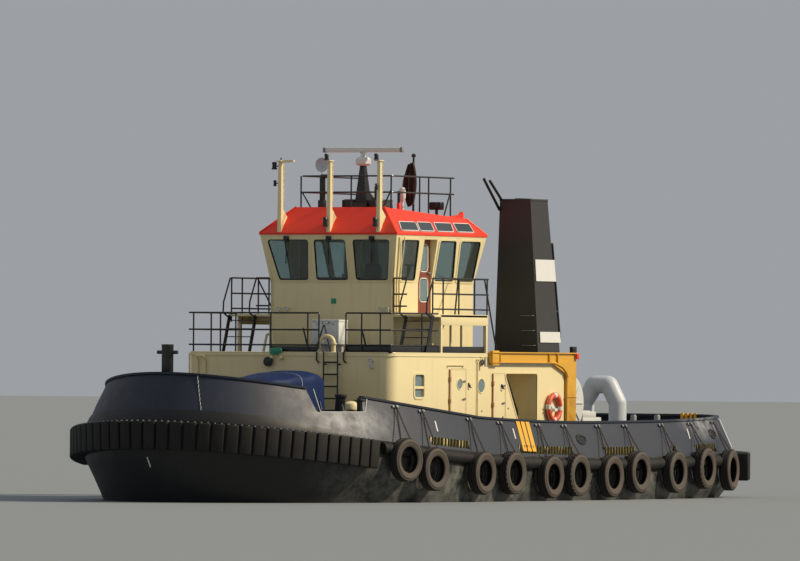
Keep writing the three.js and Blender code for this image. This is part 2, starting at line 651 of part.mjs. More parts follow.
// Wing platforms beside the wheelhouse doors, each on two posts, with rails
const WING_FRONT = 3880;
const WING_POST_FRONT = 3600;
const WING_AFT = 1100;
const WING_OUT = 2940;
const WING_Z = 4660;
const WING_RAIL_Z = 5590;
function wing() {
  const inner = WHEEL_HALF + GAP;
  const bodies = [
    box(WING_AFT, WING_FRONT, inner, WING_OUT, WING_Z - 60, WING_Z),
    box(WING_AFT, WING_POST_FRONT, WING_OUT - 60, WING_OUT, WING_Z - 210, WING_Z),
    box(WING_POST_FRONT - 80, WING_POST_FRONT, WING_OUT - 80, WING_OUT, BRIDGE_DECK_Z + GAP, WING_Z),
    box(WING_AFT, WING_AFT + 80, WING_OUT - 80, WING_OUT, BRIDGE_DECK_Z + GAP, WING_Z),
  ];
  const y = WING_OUT - 40;
  const front = WING_FRONT - 40;
  const stations = [front, 2700, 1900, WING_AFT + 40];
  for (const x of stations) bodies.push(bar([x, y, WING_Z - 30], [x, y, WING_RAIL_Z], RAIL_TUBE / 2, 4));
  bodies.push(bar([front, 1880, WING_Z - 30], [front, 1880, WING_RAIL_Z], RAIL_TUBE / 2, 4));
  for (const z of [WING_RAIL_Z, WING_Z + 520, WING_Z + 210]) {
    bodies.push(bars([[front, 1860, z], [front, y, z], [WING_AFT + 20, y, z]], RAIL_TUBE / 2));
  }
  for (const strutY of [y - 40, y - 700]) {
    bodies.push(bars([[front + 10, strutY, WING_Z - 30], [front + 10, strutY + 40, 4350],
      [front + 10, strutY - 130, BRIDGE_DECK_Z + GAP]], 30));
  }
  const below = box(WING_AFT, WING_FRONT, inner - 200, WING_OUT, BRIDGE_DECK_Z - 200, BRIDGE_DECK_Z + GAP);
  return join(bodies).subtract(below);
}
const portWing = wing();
add('wing_platform_port', portWing, 'blackPaint');
add('wing_platform_starboard', mirrored(portWing), 'blackPaint');

// Bridge deck rail: runs from each wing forward and across the front, with a gate at the ladder
const DECK_RAIL_Z = 4650;
const RAIL_FRONT = HOUSE_FRONT - 60;
const RAIL_SIDE = HOUSE_HALF - 50;
const GATE_LOW_Y = 900;
const GATE_HIGH_Y = 1620;
function railRun(points, posts, low, high, levels) {
  const bodies = levels.map((z) => bars(points.map(([x, y]) => [x, y, z]), RAIL_TUBE / 2));
  for (const [x, y] of posts) bodies.push(bar([x, y, low], [x, y, high], RAIL_TUBE / 2, 4));
  return join(bodies);
}
const railLevels = [DECK_RAIL_Z, 4330, 4010];
const railAftX = WING_FRONT + 100;
const shortRail = railRun(
  [[RAIL_FRONT, GATE_HIGH_Y], [RAIL_FRONT, RAIL_SIDE], [railAftX, RAIL_SIDE]],
  [[RAIL_FRONT, GATE_HIGH_Y], [RAIL_FRONT, RAIL_SIDE], [4850, RAIL_SIDE], [railAftX, RAIL_SIDE]],
  BRIDGE_DECK_Z + GAP, DECK_RAIL_Z, railLevels);
add('bridge_rail_port', shortRail, 'blackPaint');
const longRail = railRun(
  [[RAIL_FRONT, GATE_LOW_Y], [RAIL_FRONT, -RAIL_SIDE], [railAftX, -RAIL_SIDE]],
  [[RAIL_FRONT, GATE_LOW_Y], [RAIL_FRONT, -400], [RAIL_FRONT, -1650], [RAIL_FRONT, -RAIL_SIDE],
    [4850, -RAIL_SIDE], [railAftX, -RAIL_SIDE]],
  BRIDGE_DECK_Z + GAP, DECK_RAIL_Z, railLevels);
add('bridge_rail_starboard', longRail, 'blackPaint');

// Roof rail, open at the aft end
const ROOF_RAIL_Z = 8170;
function roofZ(x) {
  return ROOF_TOP_AFT_Z + (ROOF_TOP_Z - ROOF_TOP_AFT_Z) * (x - ROOF_TOP_AFT) / (ROOF_TOP_FRONT - ROOF_TOP_AFT);
}
const roofRailParts = [];
const roofPosts = [[3400, -1200], [3400, 0], [3400, 1200], [1700, 1200], [50, 1200],
  [50, -1200], [1700, -1200]];
for (const [x, y] of roofPosts) {
  roofRailParts.push(bar([x, y, roofZ(x) + 2], [x, y, ROOF_RAIL_Z], RAIL_TUBE / 2, 4));
}
for (const z of [ROOF_RAIL_Z, 7760]) {
  roofRailParts.push(bars([[30, -1200, z], [3400, -1200, z], [3400, 1200, z], [30, 1200, z]],
    RAIL_TUBE / 2));
}
add('roof_rail', join(roofRailParts), 'blackPaint');

// Light posts: slim tapered posts that stand on the sloping front of the roof
const POST_X = 4040;
const POST_TOP_Z = 8600;
const lightPosts = [['port', 1350], ['centre', 0], ['starboard', -1350]];
const roofSeat = roof.translate([0, 0, 1]);
for (const [name, y] of lightPosts) {
  const post = join([
    box(POST_X - 50, POST_X + 50, y - 45, y + 45, BROW_Z + 30, POST_TOP_Z),
    sidePrism([[POST_X - 300, BROW_Z + 200], [POST_X + 60, BROW_Z + 30], [POST_X + 60, 7000],
      [POST_X, 7500], [POST_X - 50, 7500]], y - 30, y + 30),
    bar([POST_X + 120, y, POST_TOP_Z - 60], [POST_X + 120, y, POST_TOP_Z + 60], 70, 8),
    box(POST_X, POST_X + 120, y - 30, y + 30, POST_TOP_Z - 40, POST_TOP_Z + 20),
  ]).subtract(roofSeat);
  add(`light_post_${name}`, post, 'cream');
}

// Radar mast and its turning scanner
const RADAR_X = 2320;
const RADAR_TURN_Z = 8640;
const mastGeometry = new THREE.CylinderGeometry(130, 330, 1150, 4);
mastGeometry.rotateX(Math.PI / 2);
mastGeometry.rotateZ(Math.PI / 4);
mastGeometry.translate(RADAR_X, 0, roofZ(RADAR_X) + 20 + 575);
const mast = join([
  solid(mastGeometry),
  bar([RADAR_X, 0, 8350], [RADAR_X, 0, RADAR_TURN_Z], 190, 12),
]).subtract(roofSeat);
add('radar_mast', mast, 'blackPaint');
const scanner = join([
  bar([RADAR_X, 0, RADAR_TURN_Z + 5], [RADAR_X, 0, RADAR_TURN_Z + 140], 70, 10),
  box(RADAR_X - 60, RADAR_X + 60, -1150, 1150, RADAR_TURN_Z + 120, RADAR_TURN_Z + 250),
]);
add('radar_scanner', scanner, 'white');

// Satellite disc on a pole, and the flagstaff
const discPole = join([
  bar([2900, -900, roofZ(2900) + 2], [2900, -900, 8380], 25, 8),
  bar([2840, -900, 8420], [2960, -900, 8420], 165, 16),
]);
add('satellite_disc', discPole, 'grey');
const staff = join([
  bar([600, 500, roofZ(600) + 5], [600, 500, 8700], 28, 8),
  bar([600, 500, 8700], [600, 500, 8780], 60, 8),
]);
add('flagstaff', staff, 'blackPaint');

// Funnels: tapered casings on the aft end of the bridge deck
// Level, forward end, aft end, inner side, outer side
const funnelLevels = [
  { z: BRIDGE_DECK_Z + GAP, front: -1770, aft: -2950, inner: 1580, outer: 2850 },
  { z: 7650, front: -1560, aft: -2480, inner: 1830, outer: 2710 },
];
const funnel = loft(funnelLevels.map(({ z, front, aft, inner, outer }) => [
  [front, inner, z], [front, outer, z], [aft, outer, z], [aft, inner, z],
]));
add('funnel_port', funnel, 'blackPaint');
add('funnel_starboard', mirrored(funnel), 'blackPaint');

// Gantry: two posts on the aft deck, a cross beam, and side beams along the deckhouse
const GANTRY_OUT = 3030;
const GANTRY_TOP = 3730;
const GANTRY_DEPTH = 260;
const GANTRY_AFT = -3500;
const GANTRY_POST = 470;
const gantrySide = join([
  box(GANTRY_AFT, 1080, HOUSE_HALF + 25, GANTRY_OUT, GANTRY_TOP - GANTRY_DEPTH, GANTRY_TOP),
  box(GANTRY_AFT, GANTRY_AFT + GANTRY_POST, 2780, GANTRY_OUT, 800, GANTRY_TOP),
  sidePrism([[GANTRY_AFT + GANTRY_POST - 20, 3180], [GANTRY_AFT + GANTRY_POST + 900, 3500],
    [GANTRY_AFT + GANTRY_POST - 20, 3500]], HOUSE_HALF + 25, GANTRY_OUT),
]);
const gantry = join([gantrySide, mirrored(gantrySide),
  box(GANTRY_AFT, GANTRY_AFT + GANTRY_POST, -2850, 2850, GANTRY_TOP - GANTRY_DEPTH, GANTRY_TOP),
]).subtract(deckSeat);
add('gantry', gantry, 'yellow');

// Towing winch: drum with two flanges between side frames on a bed
const WINCH_X = -6750;
const WINCH_Z = 2450;
const WINCH_FLANGE = 720;
const winchFrame = [[-7550, 900], [-5950, 900], [-6500, 2650], [-7000, 2650]];
const winch = join([
  bar([WINCH_X, -1150, WINCH_Z], [WINCH_X, 1150, WINCH_Z], 420, 20),
  bar([WINCH_X, -1150, WINCH_Z], [WINCH_X, -1080, WINCH_Z], WINCH_FLANGE, 24),
  bar([WINCH_X, 1080, WINCH_Z], [WINCH_X, 1150, WINCH_Z], WINCH_FLANGE, 24),
  sidePrism(winchFrame, 900, 1000),
  sidePrism(winchFrame, -1000, -900),
  box(-7550, -5950, -1100, 1100, 900, 1450),
  box(-8540, -7500, -1100, 1100, 900, 2080),
  box(-8250, -7500, -1100, 1100, 2000, 2230),
]).subtract(deckSeat);
add('towing_winch', winch, 'white');

// Towing staple: a bent tube on the aft deck
const STAPLE_X = -10600;
const STAPLE_TUBE = 190;
const staplePoints = [[-480, 1000], [-480, 2450], [-220, 2930], [220, 2930], [480, 2450], [480, 1000]];
const stapleBends = staplePoints.slice(1, -1).map(([y, z]) => {
  const ball = new THREE.SphereGeometry(STAPLE_TUBE, 10, 6);
  ball.translate(STAPLE_X, y, z);
  return solid(ball);
});
const stapleTube = bars(staplePoints.map(([y, z]) => [STAPLE_X, y, z]), STAPLE_TUBE, 10);
const staple = join([stapleTube, ...stapleBends]).subtract(deckSeat);
add('towing_staple', staple, 'grey');

// Lockers and gooseneck vent on the bridge deck
const lockers = box(4550, 5000, 120, 980, 3900, 4520)
  .add(box(4600, 4700, 200, 900, BRIDGE_DECK_Z + GAP, 3950));
add('deck_locker', lockers, 'white');
const vent = bars([[5700, 1080, BRIDGE_DECK_Z + GAP], [5700, 1080, 4020], [5700, 980, 4130],
  [5700, 820, 4130], [5700, 740, 4030]], 70, 10);
add('gooseneck_vent', vent, 'cream');

// Bow bitt: a post with a cross bar
const BITT_X = 12050;
const bitt = join([
  bar([BITT_X, 0, 1000], [BITT_X, 0, 3860], 145, 14),
  bar([BITT_X, -290, 3665], [BITT_X, 290, 3665], 45, 8),
]).subtract(deckSeat);
add('bow_bitt', bitt, 'blackPaint');

// Covered dinghy on the foredeck: station, half breadth, keel height, cover height
const DINGHY_Y = 950;
const dinghySections = [
  { x: 7070, half: 640, keel: 1900, gunwale: 2500, top: 3120 },
  { x: 7250, half: 700, keel: 1850, gunwale: 2500, top: 3230 },
  { x: 7750, half: 780, keel: 1800, gunwale: 2550, top: 3240 },
  { x: 8950, half: 760, keel: 1820, gunwale: 2600, top: 3150 },
  { x: 9950, half: 520, keel: 1950, gunwale: 2680, top: 3000 },
  { x: 10700, half: 120, keel: 2350, gunwale: 2760, top: 2860 },
];
const dinghyBody = loft(dinghySections.map(({ x, half, keel, gunwale, top }) => [
  [x, DINGHY_Y, keel], [x, DINGHY_Y + half * 0.7, keel + 120], [x, DINGHY_Y + half, gunwale],
  [x, DINGHY_Y + half * 0.7, top - 100], [x, DINGHY_Y, top], [x, DINGHY_Y - half * 0.7, top - 100],
  [x, DINGHY_Y - half, gunwale], [x, DINGHY_Y - half * 0.7, keel + 120],
]));
const chocks = join([
  box(7350, 7500, DINGHY_Y - 500, DINGHY_Y + 500, 1000, 2000),
  box(9350, 9500, DINGHY_Y - 350, DINGHY_Y + 350, 1000, 2000),
]);
add('covered_dinghy', dinghyBody.add(chocks).subtract(deckSeat), 'blueCover');

// Ladder on the house front and lifebuoys on the house sides
const LADDER_Y = 1290;
const ladderX = HOUSE_FRONT + 120;
const ladderParts = [];
for (const y of [LADDER_Y - 200, LADDER_Y + 200]) {
  ladderParts.push(bar([ladderX, y, 1500], [ladderX, y, BRIDGE_DECK_Z + 60], 25, 6));
  for (const z of [1900, 3500]) ladderParts.push(bar([HOUSE_FRONT + GAP, y, z], [ladderX, y, z], 20, 6));
}
for (let z = 1650; z < BRIDGE_DECK_Z; z += 300) {
  ladderParts.push(bar([ladderX, LADDER_Y - 200, z], [ladderX, LADDER_Y + 200, z], 16, 6));
}
add('house_ladder', join(ladderParts), 'blackPaint');

const buoyGeometry = new THREE.TorusGeometry(310, 70, 8, 20);
buoyGeometry.rotateX(Math.PI / 2);
buoyGeometry.translate(-2320, HOUSE_HALF + 72, 2340);
const lifebuoy = solid(buoyGeometry);
add('lifebuoy_port', lifebuoy, 'lifeRed');
add('lifebuoy_starboard', mirrored(lifebuoy), 'lifeRed');

// Propeller nozzles, propellers and rudders, port and starboard
const NOZZLE_IN = PROP_RADIUS + 25;
const NOZZLE_LENGTH = 1000;
const nozzleProfile = [
  [NOZZLE_IN, -NOZZLE_LENGTH / 2], [NOZZLE_IN + 50, -NOZZLE_LENGTH / 2],
  [NOZZLE_IN + 190, NOZZLE_LENGTH * 0.3], [NOZZLE_IN + 130, NOZZLE_LENGTH / 2],
  [NOZZLE_IN + 60, NOZZLE_LENGTH / 2], [NOZZLE_IN, NOZZLE_LENGTH * 0.25],
  [NOZZLE_IN, -NOZZLE_LENGTH / 2],
].map(([r, x]) => new THREE.Vector2(r, x));
const nozzleGeometry = new THREE.LatheGeometry(nozzleProfile, 28);
nozzleGeometry.rotateZ(-Math.PI / 2);
nozzleGeometry.translate(PROP_X, PROP_Y, PROP_Z);
const shaftFront = -5200;
const hullDropped = hull.translate([0, 0, -GAP]);
const ringBody = solid(nozzleGeometry);
const nozzle = join([
  ringBody,
  box(PROP_X - 300, PROP_X + 350, PROP_Y - 130, PROP_Y + 130, PROP_Z + NOZZLE_IN + 40, 0),
]).subtract(hullDropped);
add('nozzle_port', nozzle, 'hullBlack');
add('nozzle_starboard', mirrored(nozzle), 'hullBlack');

const HUB_RADIUS = 170;
const BLADES = 4;
const propellerParts = [
  bar([PROP_X - 230, PROP_Y, PROP_Z], [PROP_X + 230, PROP_Y, PROP_Z], HUB_RADIUS, 14),
];
for (let i = 0; i < BLADES; i += 1) {
  const blade = new THREE.Shape();
  blade.moveTo(-110, 100);
  blade.lineTo(110, 100);
  blade.lineTo(320, 600);
  blade.lineTo(260, PROP_RADIUS - 30);
  blade.lineTo(-180, PROP_RADIUS - 10);
  blade.lineTo(-300, 600);
  blade.closePath();
  const geometry = new THREE.ExtrudeGeometry(blade, { depth: 30, bevelEnabled: false });
  geometry.translate(0, 0, -15);
  geometry.rotateY(Math.PI / 3.2);
  geometry.rotateX(i * 2 * Math.PI / BLADES);
  geometry.translate(PROP_X, PROP_Y, PROP_Z);
  propellerParts.push(solid(geometry));
}
const propeller = join(propellerParts);
add('propeller_port', propeller, 'bronze');
add('propeller_starboard', mirrored(propeller), 'bronze');

const shaft = bar([PROP_X + 235, PROP_Y, PROP_Z], [shaftFront, PROP_Y, PROP_Z + 60], 110, 12)
  .add(box(PROP_X + 600, PROP_X + 900, PROP_Y - 40, PROP_Y + 40, PROP_Z, -400))
  .subtract(hullDropped);
add('shaft_port', shaft, 'hullBlack');
add('shaft_starboard', mirrored(shaft), 'hullBlack');

const rudderShape = new THREE.Shape();
rudderShape.moveTo(350, 0);
rudderShape.quadraticCurveTo(300, 130, 0, 130);
rudderShape.lineTo(-750, 20);
rudderShape.lineTo(-750, -20);
rudderShape.lineTo(0, -130);
rudderShape.quadraticCurveTo(300, -130, 350, 0);
const rudderBlade = planPrism(rudderShape, PROP_Z - 950, PROP_Z + 900, 4)
  .translate([RUDDER_X, PROP_Y, 0]);
const STOCK_GAP = 8;
const rudder = rudderBlade
  .add(bar([RUDDER_X, PROP_Y, PROP_Z + 800], [RUDDER_X, PROP_Y, TRUNK_BOTTOM - STOCK_GAP], 110, 12));
add('rudder_port', rudder, 'hullBlack');
add('rudder_starboard', mirrored(rudder), 'hullBlack');

export default tug;
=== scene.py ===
import math

import bmesh
import bpy
from mathutils import Matrix, Vector


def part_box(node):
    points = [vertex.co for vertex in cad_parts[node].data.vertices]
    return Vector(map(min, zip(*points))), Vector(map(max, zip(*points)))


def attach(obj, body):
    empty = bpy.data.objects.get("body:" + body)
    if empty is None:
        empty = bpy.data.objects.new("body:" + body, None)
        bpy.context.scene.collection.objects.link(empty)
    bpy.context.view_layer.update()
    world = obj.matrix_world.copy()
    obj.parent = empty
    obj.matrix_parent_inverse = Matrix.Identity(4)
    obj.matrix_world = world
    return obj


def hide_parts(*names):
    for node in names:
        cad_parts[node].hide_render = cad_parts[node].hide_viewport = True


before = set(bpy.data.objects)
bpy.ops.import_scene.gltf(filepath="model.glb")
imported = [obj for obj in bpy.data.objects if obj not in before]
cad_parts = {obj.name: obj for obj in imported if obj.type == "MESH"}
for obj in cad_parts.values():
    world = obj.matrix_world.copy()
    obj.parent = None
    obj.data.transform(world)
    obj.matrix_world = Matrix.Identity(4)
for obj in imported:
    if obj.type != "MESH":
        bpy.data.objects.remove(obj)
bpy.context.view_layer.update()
scene = bpy.context.scene

# The view. The boat is seen from ahead on the port bow, with a very long lens, from about the height
# of a person standing on a quay.
VIEW_DISTANCE = 270.0
VIEW_HEIGHT = 3.2
VIEW_AZIMUTH = math.radians(61.0)
VIEW_ROLL = math.radians(0.4)
PIXELS_PER_RADIAN = 10611.0
FRAME_WIDTH = 800.0
AIM_HEIGHT = 5.55
AIM_ASIDE = -0.178

ahead = Vector((math.sin(VIEW_AZIMUTH), math.cos(VIEW_AZIMUTH), 0.0))
rightward = Vector((-ahead.y, ahead.x, 0.0))
eye = ahead * VIEW_DISTANCE + Vector((0.0, 0.0, VIEW_HEIGHT))
aim = rightward * AIM_ASIDE + Vector((0.0, 0.0, AIM_HEIGHT))
lens = bpy.data.cameras.new("long lens")
lens.sensor_width = 36.0
lens.lens = PIXELS_PER_RADIAN / FRAME_WIDTH * lens.sensor_width
lens.clip_end = 2000.0
camera = bpy.data.objects.new("camera", lens)
scene.collection.objects.link(camera)
turned = (aim - eye).to_track_quat("-Z", "Y").to_matrix().to_4x4()
camera.matrix_world = Matrix.Translation(eye) @ turned @ Matrix.Rotation(VIEW_ROLL, 4, "Z")
scene.camera = camera

# The studio. A pale floor at the waterline, a warm low key light from the port quarter, and a pale
# even sky that fills the shaded bow.


def linear(colour):
    """An sRGB hex colour as linear RGBA."""
    channels = [((colour >> shift) & 255) / 255.0 for shift in (16, 8, 0)]
    return (*[c / 12.92 if c <= 0.04045 else ((c + 0.055) / 1.055) ** 2.4 for c in channels], 1.0)


def put(tree, kind, inputs=(), **settings):
    """A node with its settings, and its inputs set to values or linked to other nodes' outputs."""
    node = tree.nodes.new(kind)
    for name, value in settings.items():
        setattr(node, name, value)
    for name, value in dict(inputs).items():
        if isinstance(value, bpy.types.NodeSocket):
            tree.links.new(value, node.inputs[name])
        else:
            node.inputs[name].default_value = value
    return node


def new_material(name):
    """An empty material with its output node, ready for a surface."""
    material = bpy.data.materials.new(name)
    material.use_nodes = True
    material.node_tree.nodes.clear()
    return material, material.node_tree


def mottled(name, scale, detail, dark, pale):
    """A new material with two colours mixed by noise: itself, its tree, the noise and the colour."""
    material, tree = new_material(name)
    place = put(tree, "ShaderNodeTexCoord").outputs["Object"]
    noise = put(tree, "ShaderNodeTexNoise", {"Vector": place, "Scale": scale, "Detail": detail})
    mixed = put(tree, "ShaderNodeMix", {"Factor": noise.outputs["Fac"], "A": linear(dark),
                                        "B": linear(pale)}, data_type="RGBA")
    return material, tree, noise.outputs["Fac"], mixed.outputs["Result"]


SKY_COLOUR = 0xC9CDD2
sky = bpy.data.worlds.new("overcast sky")
scene.world = sky
sky.use_nodes = True
sky.node_tree.nodes.clear()
glow = put(sky.node_tree, "ShaderNodeBackground", {"Color": linear(SKY_COLOUR), "Strength": 0.57})
put(sky.node_tree, "ShaderNodeOutputWorld", {"Surface": glow.outputs[0]})

KEY_STRENGTH = 3.8
scene.view_settings.view_transform = "Standard"
key = bpy.data.lights.new("key light", "SUN")
key.energy = KEY_STRENGTH
key.angle = math.radians(4.0)
key.color = linear(0xFFF0D6)[:3]
key_light = bpy.data.objects.new("key light", key)
scene.collection.objects.link(key_light)
KEY_FROM = Vector((-0.4, 0.75, 0.6))
key_light.rotation_euler = KEY_FROM.to_track_quat("Z", "Y").to_euler()

floor_material, tree = new_material("matt studio floor")
matt = put(tree, "ShaderNodeBsdfPrincipled", {"Base Color": linear(0x868C90), "Roughness": 0.9})
put(tree, "ShaderNodeOutputMaterial", {"Surface": matt.outputs[0]})
FLOOR_HALF = 900.0
floor_mesh = bpy.data.meshes.new("floor")
corners = [(-FLOOR_HALF, -FLOOR_HALF, 0), (FLOOR_HALF, -FLOOR_HALF, 0), (FLOOR_HALF, FLOOR_HALF, 0),
           (-FLOOR_HALF, FLOOR_HALF, 0)]
floor_mesh.from_pydata(corners, [], [(0, 1, 2, 3)])
floor_mesh.materials.append(floor_material)
floor = bpy.data.objects.new("floor", floor_mesh)
scene.collection.objects.link(floor)

# The hull. Welded steel plate, black above the water and red-brown below it, with a dark grey deck.
# Its deck line is full at the bow and square at the stern, and its levels draw in to the keel.


def marine_paint(name, colour, faded, rough, streak=0.25, ripple=0.004, grime=0x2A241C, coat=0.0):
    """Enamel on welded plate. Broad fading, streaks that run down, and plating that isn't quite flat."""
    material, tree = new_material(name)
    place = put(tree, "ShaderNodeTexCoord").outputs["Object"]
    broad = put(tree, "ShaderNodeTexNoise", {"Vector": place, "Scale": 0.45, "Detail": 5.0})
    body = put(tree, "ShaderNodeMix", {"Factor": broad.outputs["Fac"], "A": linear(colour),
                                       "B": linear(faded)}, data_type="RGBA")
    tall = put(tree, "ShaderNodeMapping", {"Vector": place, "Scale": (7.0, 7.0, 0.5)})
    runs = put(tree, "ShaderNodeTexNoise", {"Vector": tall.outputs[0], "Scale": 1.0, "Detail": 6.0,
                                            "Roughness": 0.65})
    band = put(tree, "ShaderNodeMapRange", {"Value": runs.outputs["Fac"], "From Min": 0.55, "From Max": 0.85,
                                            "To Max": streak})
    stained = put(tree, "ShaderNodeMix", {"Factor": band.outputs[0], "A": body.outputs["Result"],
                                          "B": linear(grime)}, data_type="RGBA")
    patchy = put(tree, "ShaderNodeTexNoise", {"Vector": place, "Scale": 3.0, "Detail": 8.0})
    dull = put(tree, "ShaderNodeMapRange", {"Value": patchy.outputs["Fac"], "To Min": rough - 0.1,
                                            "To Max": rough + 0.14})
    plate = put(tree, "ShaderNodeTexNoise", {"Vector": place, "Scale": 1.3, "Detail": 1.0})
    brushed = put(tree, "ShaderNodeTexNoise", {"Vector": place, "Scale": 60.0, "Detail": 4.0})
    wavy = put(tree, "ShaderNodeBump", {"Height": plate.outputs["Fac"], "Distance": ripple, "Strength": 1.0})
    skin = put(tree, "ShaderNodeBump", {"Height": brushed.outputs["Fac"], "Distance": 0.0006,
                                        "Strength": 0.6, "Normal": wavy.outputs[0]})
    surface = put(tree, "ShaderNodeBsdfPrincipled", {
        "Base Color": stained.outputs["Result"], "Roughness": dull.outputs[0], "Normal": skin.outputs[0],
        "Coat Weight": coat, "Coat Roughness": 0.12})
    put(tree, "ShaderNodeOutputMaterial", {"Surface": surface.outputs[0]})
    return material


def finished(name, mesh, materials, slot, body="boat", crease=math.radians(32.0)):
    """A mesh as a piece of the boat: smooth but for its creases, faces outwards, riding on its body."""
    marks = [face.material_index for face in mesh.polygons]
    shape = bmesh.new()
    shape.from_mesh(mesh)
    bmesh.ops.recalc_face_normals(shape, faces=shape.faces)
    for face in shape.faces:
        face.smooth = True
    for edge in shape.edges:
        edge.smooth = len(edge.link_faces) == 2 and edge.calc_face_angle(0.0) < crease
    shape.to_mesh(mesh)
    shape.free()
    mesh.name = name
    mesh.materials.clear()
    for material in materials if isinstance(materials, (list, tuple)) else [materials]:
        mesh.materials.append(material)
    mesh.polygons.foreach_set("material_index", marks)
    made = bpy.data.objects.new(name, mesh)
    scene.collection.objects.link(made)
    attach(made, body)
    return made


def drawn(name, corners, faces, materials, slot, body="boat", marks=None, **more):
    """A piece from corner points and faces; marks gives each face's material."""
    mesh = bpy.data.meshes.new(name)
    mesh.from_pydata([tuple(c) for c in corners], [], faces)
    if marks:
        mesh.polygons.foreach_set("material_index", marks)
    return finished(name, mesh, materials, slot, body, **more)


hull_low, hull_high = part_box("hull")
STEM_X = hull_high.x
TRANSOM_X = hull_low.x
HALF_BEAM = hull_high.y
WIDEST_X = 3.0
SHEER_LOW = (-2.5, 1.08)
BOW_RISE = 0.95
STERN_RISE = 0.16
BOW_STATIONS = 72
STERN_STATIONS = 72


def sheer(x):
    """Height of the deck edge at one station."""
    ahead_share = (x - SHEER_LOW[0]) / (STEM_X + 0.1 - SHEER_LOW[0])
    if ahead_share > 0:
        return SHEER_LOW[1] + BOW_RISE * ahead_share ** 2.1
    return SHEER_LOW[1] + STERN_RISE * ((SHEER_LOW[0] - x) / (SHEER_LOW[0] - TRANSOM_X)) ** 2


def half_outline(bow, stern, half, bow_full, stern_full, square):
    """Points from the stem round the port side to the middle of the transom."""
    points = []
    for i in range(BOW_STATIONS + 1):
        turn = (1 - (1 - i / BOW_STATIONS) ** 2) * math.pi / 2
        points.append((WIDEST_X + (bow - WIDEST_X) * max(0.0, math.cos(turn)) ** (2 / bow_full),
                       half * math.sin(turn)))
    for i in range(1, STERN_STATIONS + 1):
        turn = (i / STERN_STATIONS) ** 3 * math.pi / 2
        points.append((WIDEST_X - (WIDEST_X - stern) * math.sin(turn) ** (2 / stern_full),
                       half * max(0.0, math.cos(turn)) ** (2 / square)))
    return points


# Level, stem, stern end, half breadth, fullness forward, fullness and squareness aft
hull_levels = [
    (-2.60, 9.0, -4.6, 2.3, 2.0, 2.0, 2.0),
    (-2.25, 10.4, -5.6, 3.3, 2.0, 2.2, 2.0),
    (-1.50, 11.5, -7.0, 4.0, 2.1, 2.6, 2.4),
    (-0.75, 12.1, -9.3, 4.25, 2.1, 3.2, 2.8),
    (-0.35, 12.3, -11.6, 4.32, 2.1, 3.8, 3.2),
    (0.00, 12.45, -12.5, 4.35, 2.1, 4.4, 3.6),
]
deck_line = (STEM_X, TRANSOM_X, HALF_BEAM, 2.85, 5.0, 4.0)
UPRIGHT_SIDE = 0.7
SUB_LEVELS = 4
hull_points = []
hull_faces = []
hull_marks = []
rings = []
for low, high in zip(hull_levels, hull_levels[1:]):
    for step in range(SUB_LEVELS):
        share = step / SUB_LEVELS
        z, *shape = [a + (b - a) * share for a, b in zip(low, high)]
        rings.append([(x, y, z) for x, y in half_outline(*shape)])
water_ring = half_outline(*hull_levels[-1][1:])
deck_ring = half_outline(*deck_line)
for step in range(SUB_LEVELS + 1):
    share = step / SUB_LEVELS
    rings.append([(wx + (dx - wx) * share, wy + (dy - wy) * share, (sheer(dx) - UPRIGHT_SIDE) * share)
                  for (wx, wy), (dx, dy) in zip(water_ring, deck_ring)])
rings.append([(x, y, sheer(x)) for x, y in deck_ring])
row = len(rings[0])
for ring in rings:
    hull_points += ring + [(x, -y, z) for x, y, z in ring]
for r in range(len(rings) - 1):
    for i in range(row - 1):
        a = r * 2 * row + i
        b = a + 2 * row
        hull_faces.append((a, b, b + 1, a + 1))
        hull_faces.append((a + row, a + row + 1, b + row + 1, b + row))
        hull_marks += [0 if r >= (len(hull_levels) - 1) * SUB_LEVELS else 1] * 2
for r, mark in ((0, 1), (len(rings) - 1, 2)):
    for i in range(row - 1):
        a = r * 2 * row + i
        hull_faces.append((a, a + 1, a + row + 1, a + row))
        hull_marks.append(mark)
# The skeg is a flat box keel under the cut-up stern
skeg_side = [(-1.5, -2.4), (-2.5, -3.05), (-8.3, -3.05), (-8.9, -1.9), (-8.9, -0.7), (-6.0, -0.7)]
base = len(hull_points)
hull_points += [(x, y, z) for y in (-0.18, 0.18) for x, z in skeg_side]
count = len(skeg_side)
hull_faces += [tuple(base + i for i in range(count)), tuple(base + count + i for i in range(count))[::-1]]
hull_marks += [1, 1]
for i in range(count):
    j = (i + 1) % count
    hull_faces.append((base + i, base + count + i, base + count + j, base + j))
    hull_marks.append(1)
# Short trunks below the stern plating carry the rudder stocks
TRUNK_SIDES = 24
TRUNK_RADIUS = 0.17
RUDDER_X, RUDDER_OUT = -10.7, 1.75
trunk = [(TRUNK_RADIUS * math.cos(turn), TRUNK_RADIUS * math.sin(turn))
         for turn in [2 * math.pi * i / TRUNK_SIDES for i in range(TRUNK_SIDES)]]
for trunk_y in (RUDDER_OUT, -RUDDER_OUT):
    base = len(hull_points)
    upper = base + TRUNK_SIDES
    hull_points += [(x + RUDDER_X, y + trunk_y, z) for z in (-0.8, -0.2) for x, y in trunk]
    hull_faces += [tuple(range(base, upper)), tuple(range(upper, upper + TRUNK_SIDES))[::-1]]
    for i in range(TRUNK_SIDES):
        j = (i + 1) % TRUNK_SIDES
        hull_faces.append((base + i, base + j, upper + j, upper + i))
    hull_marks += [1] * (TRUNK_SIDES + 2)

hull_black = marine_paint("black hull enamel", 0x0B0C0E, 0x141517, 0.5, streak=0.35, ripple=0.006,
                          grime=0x2A2A26)


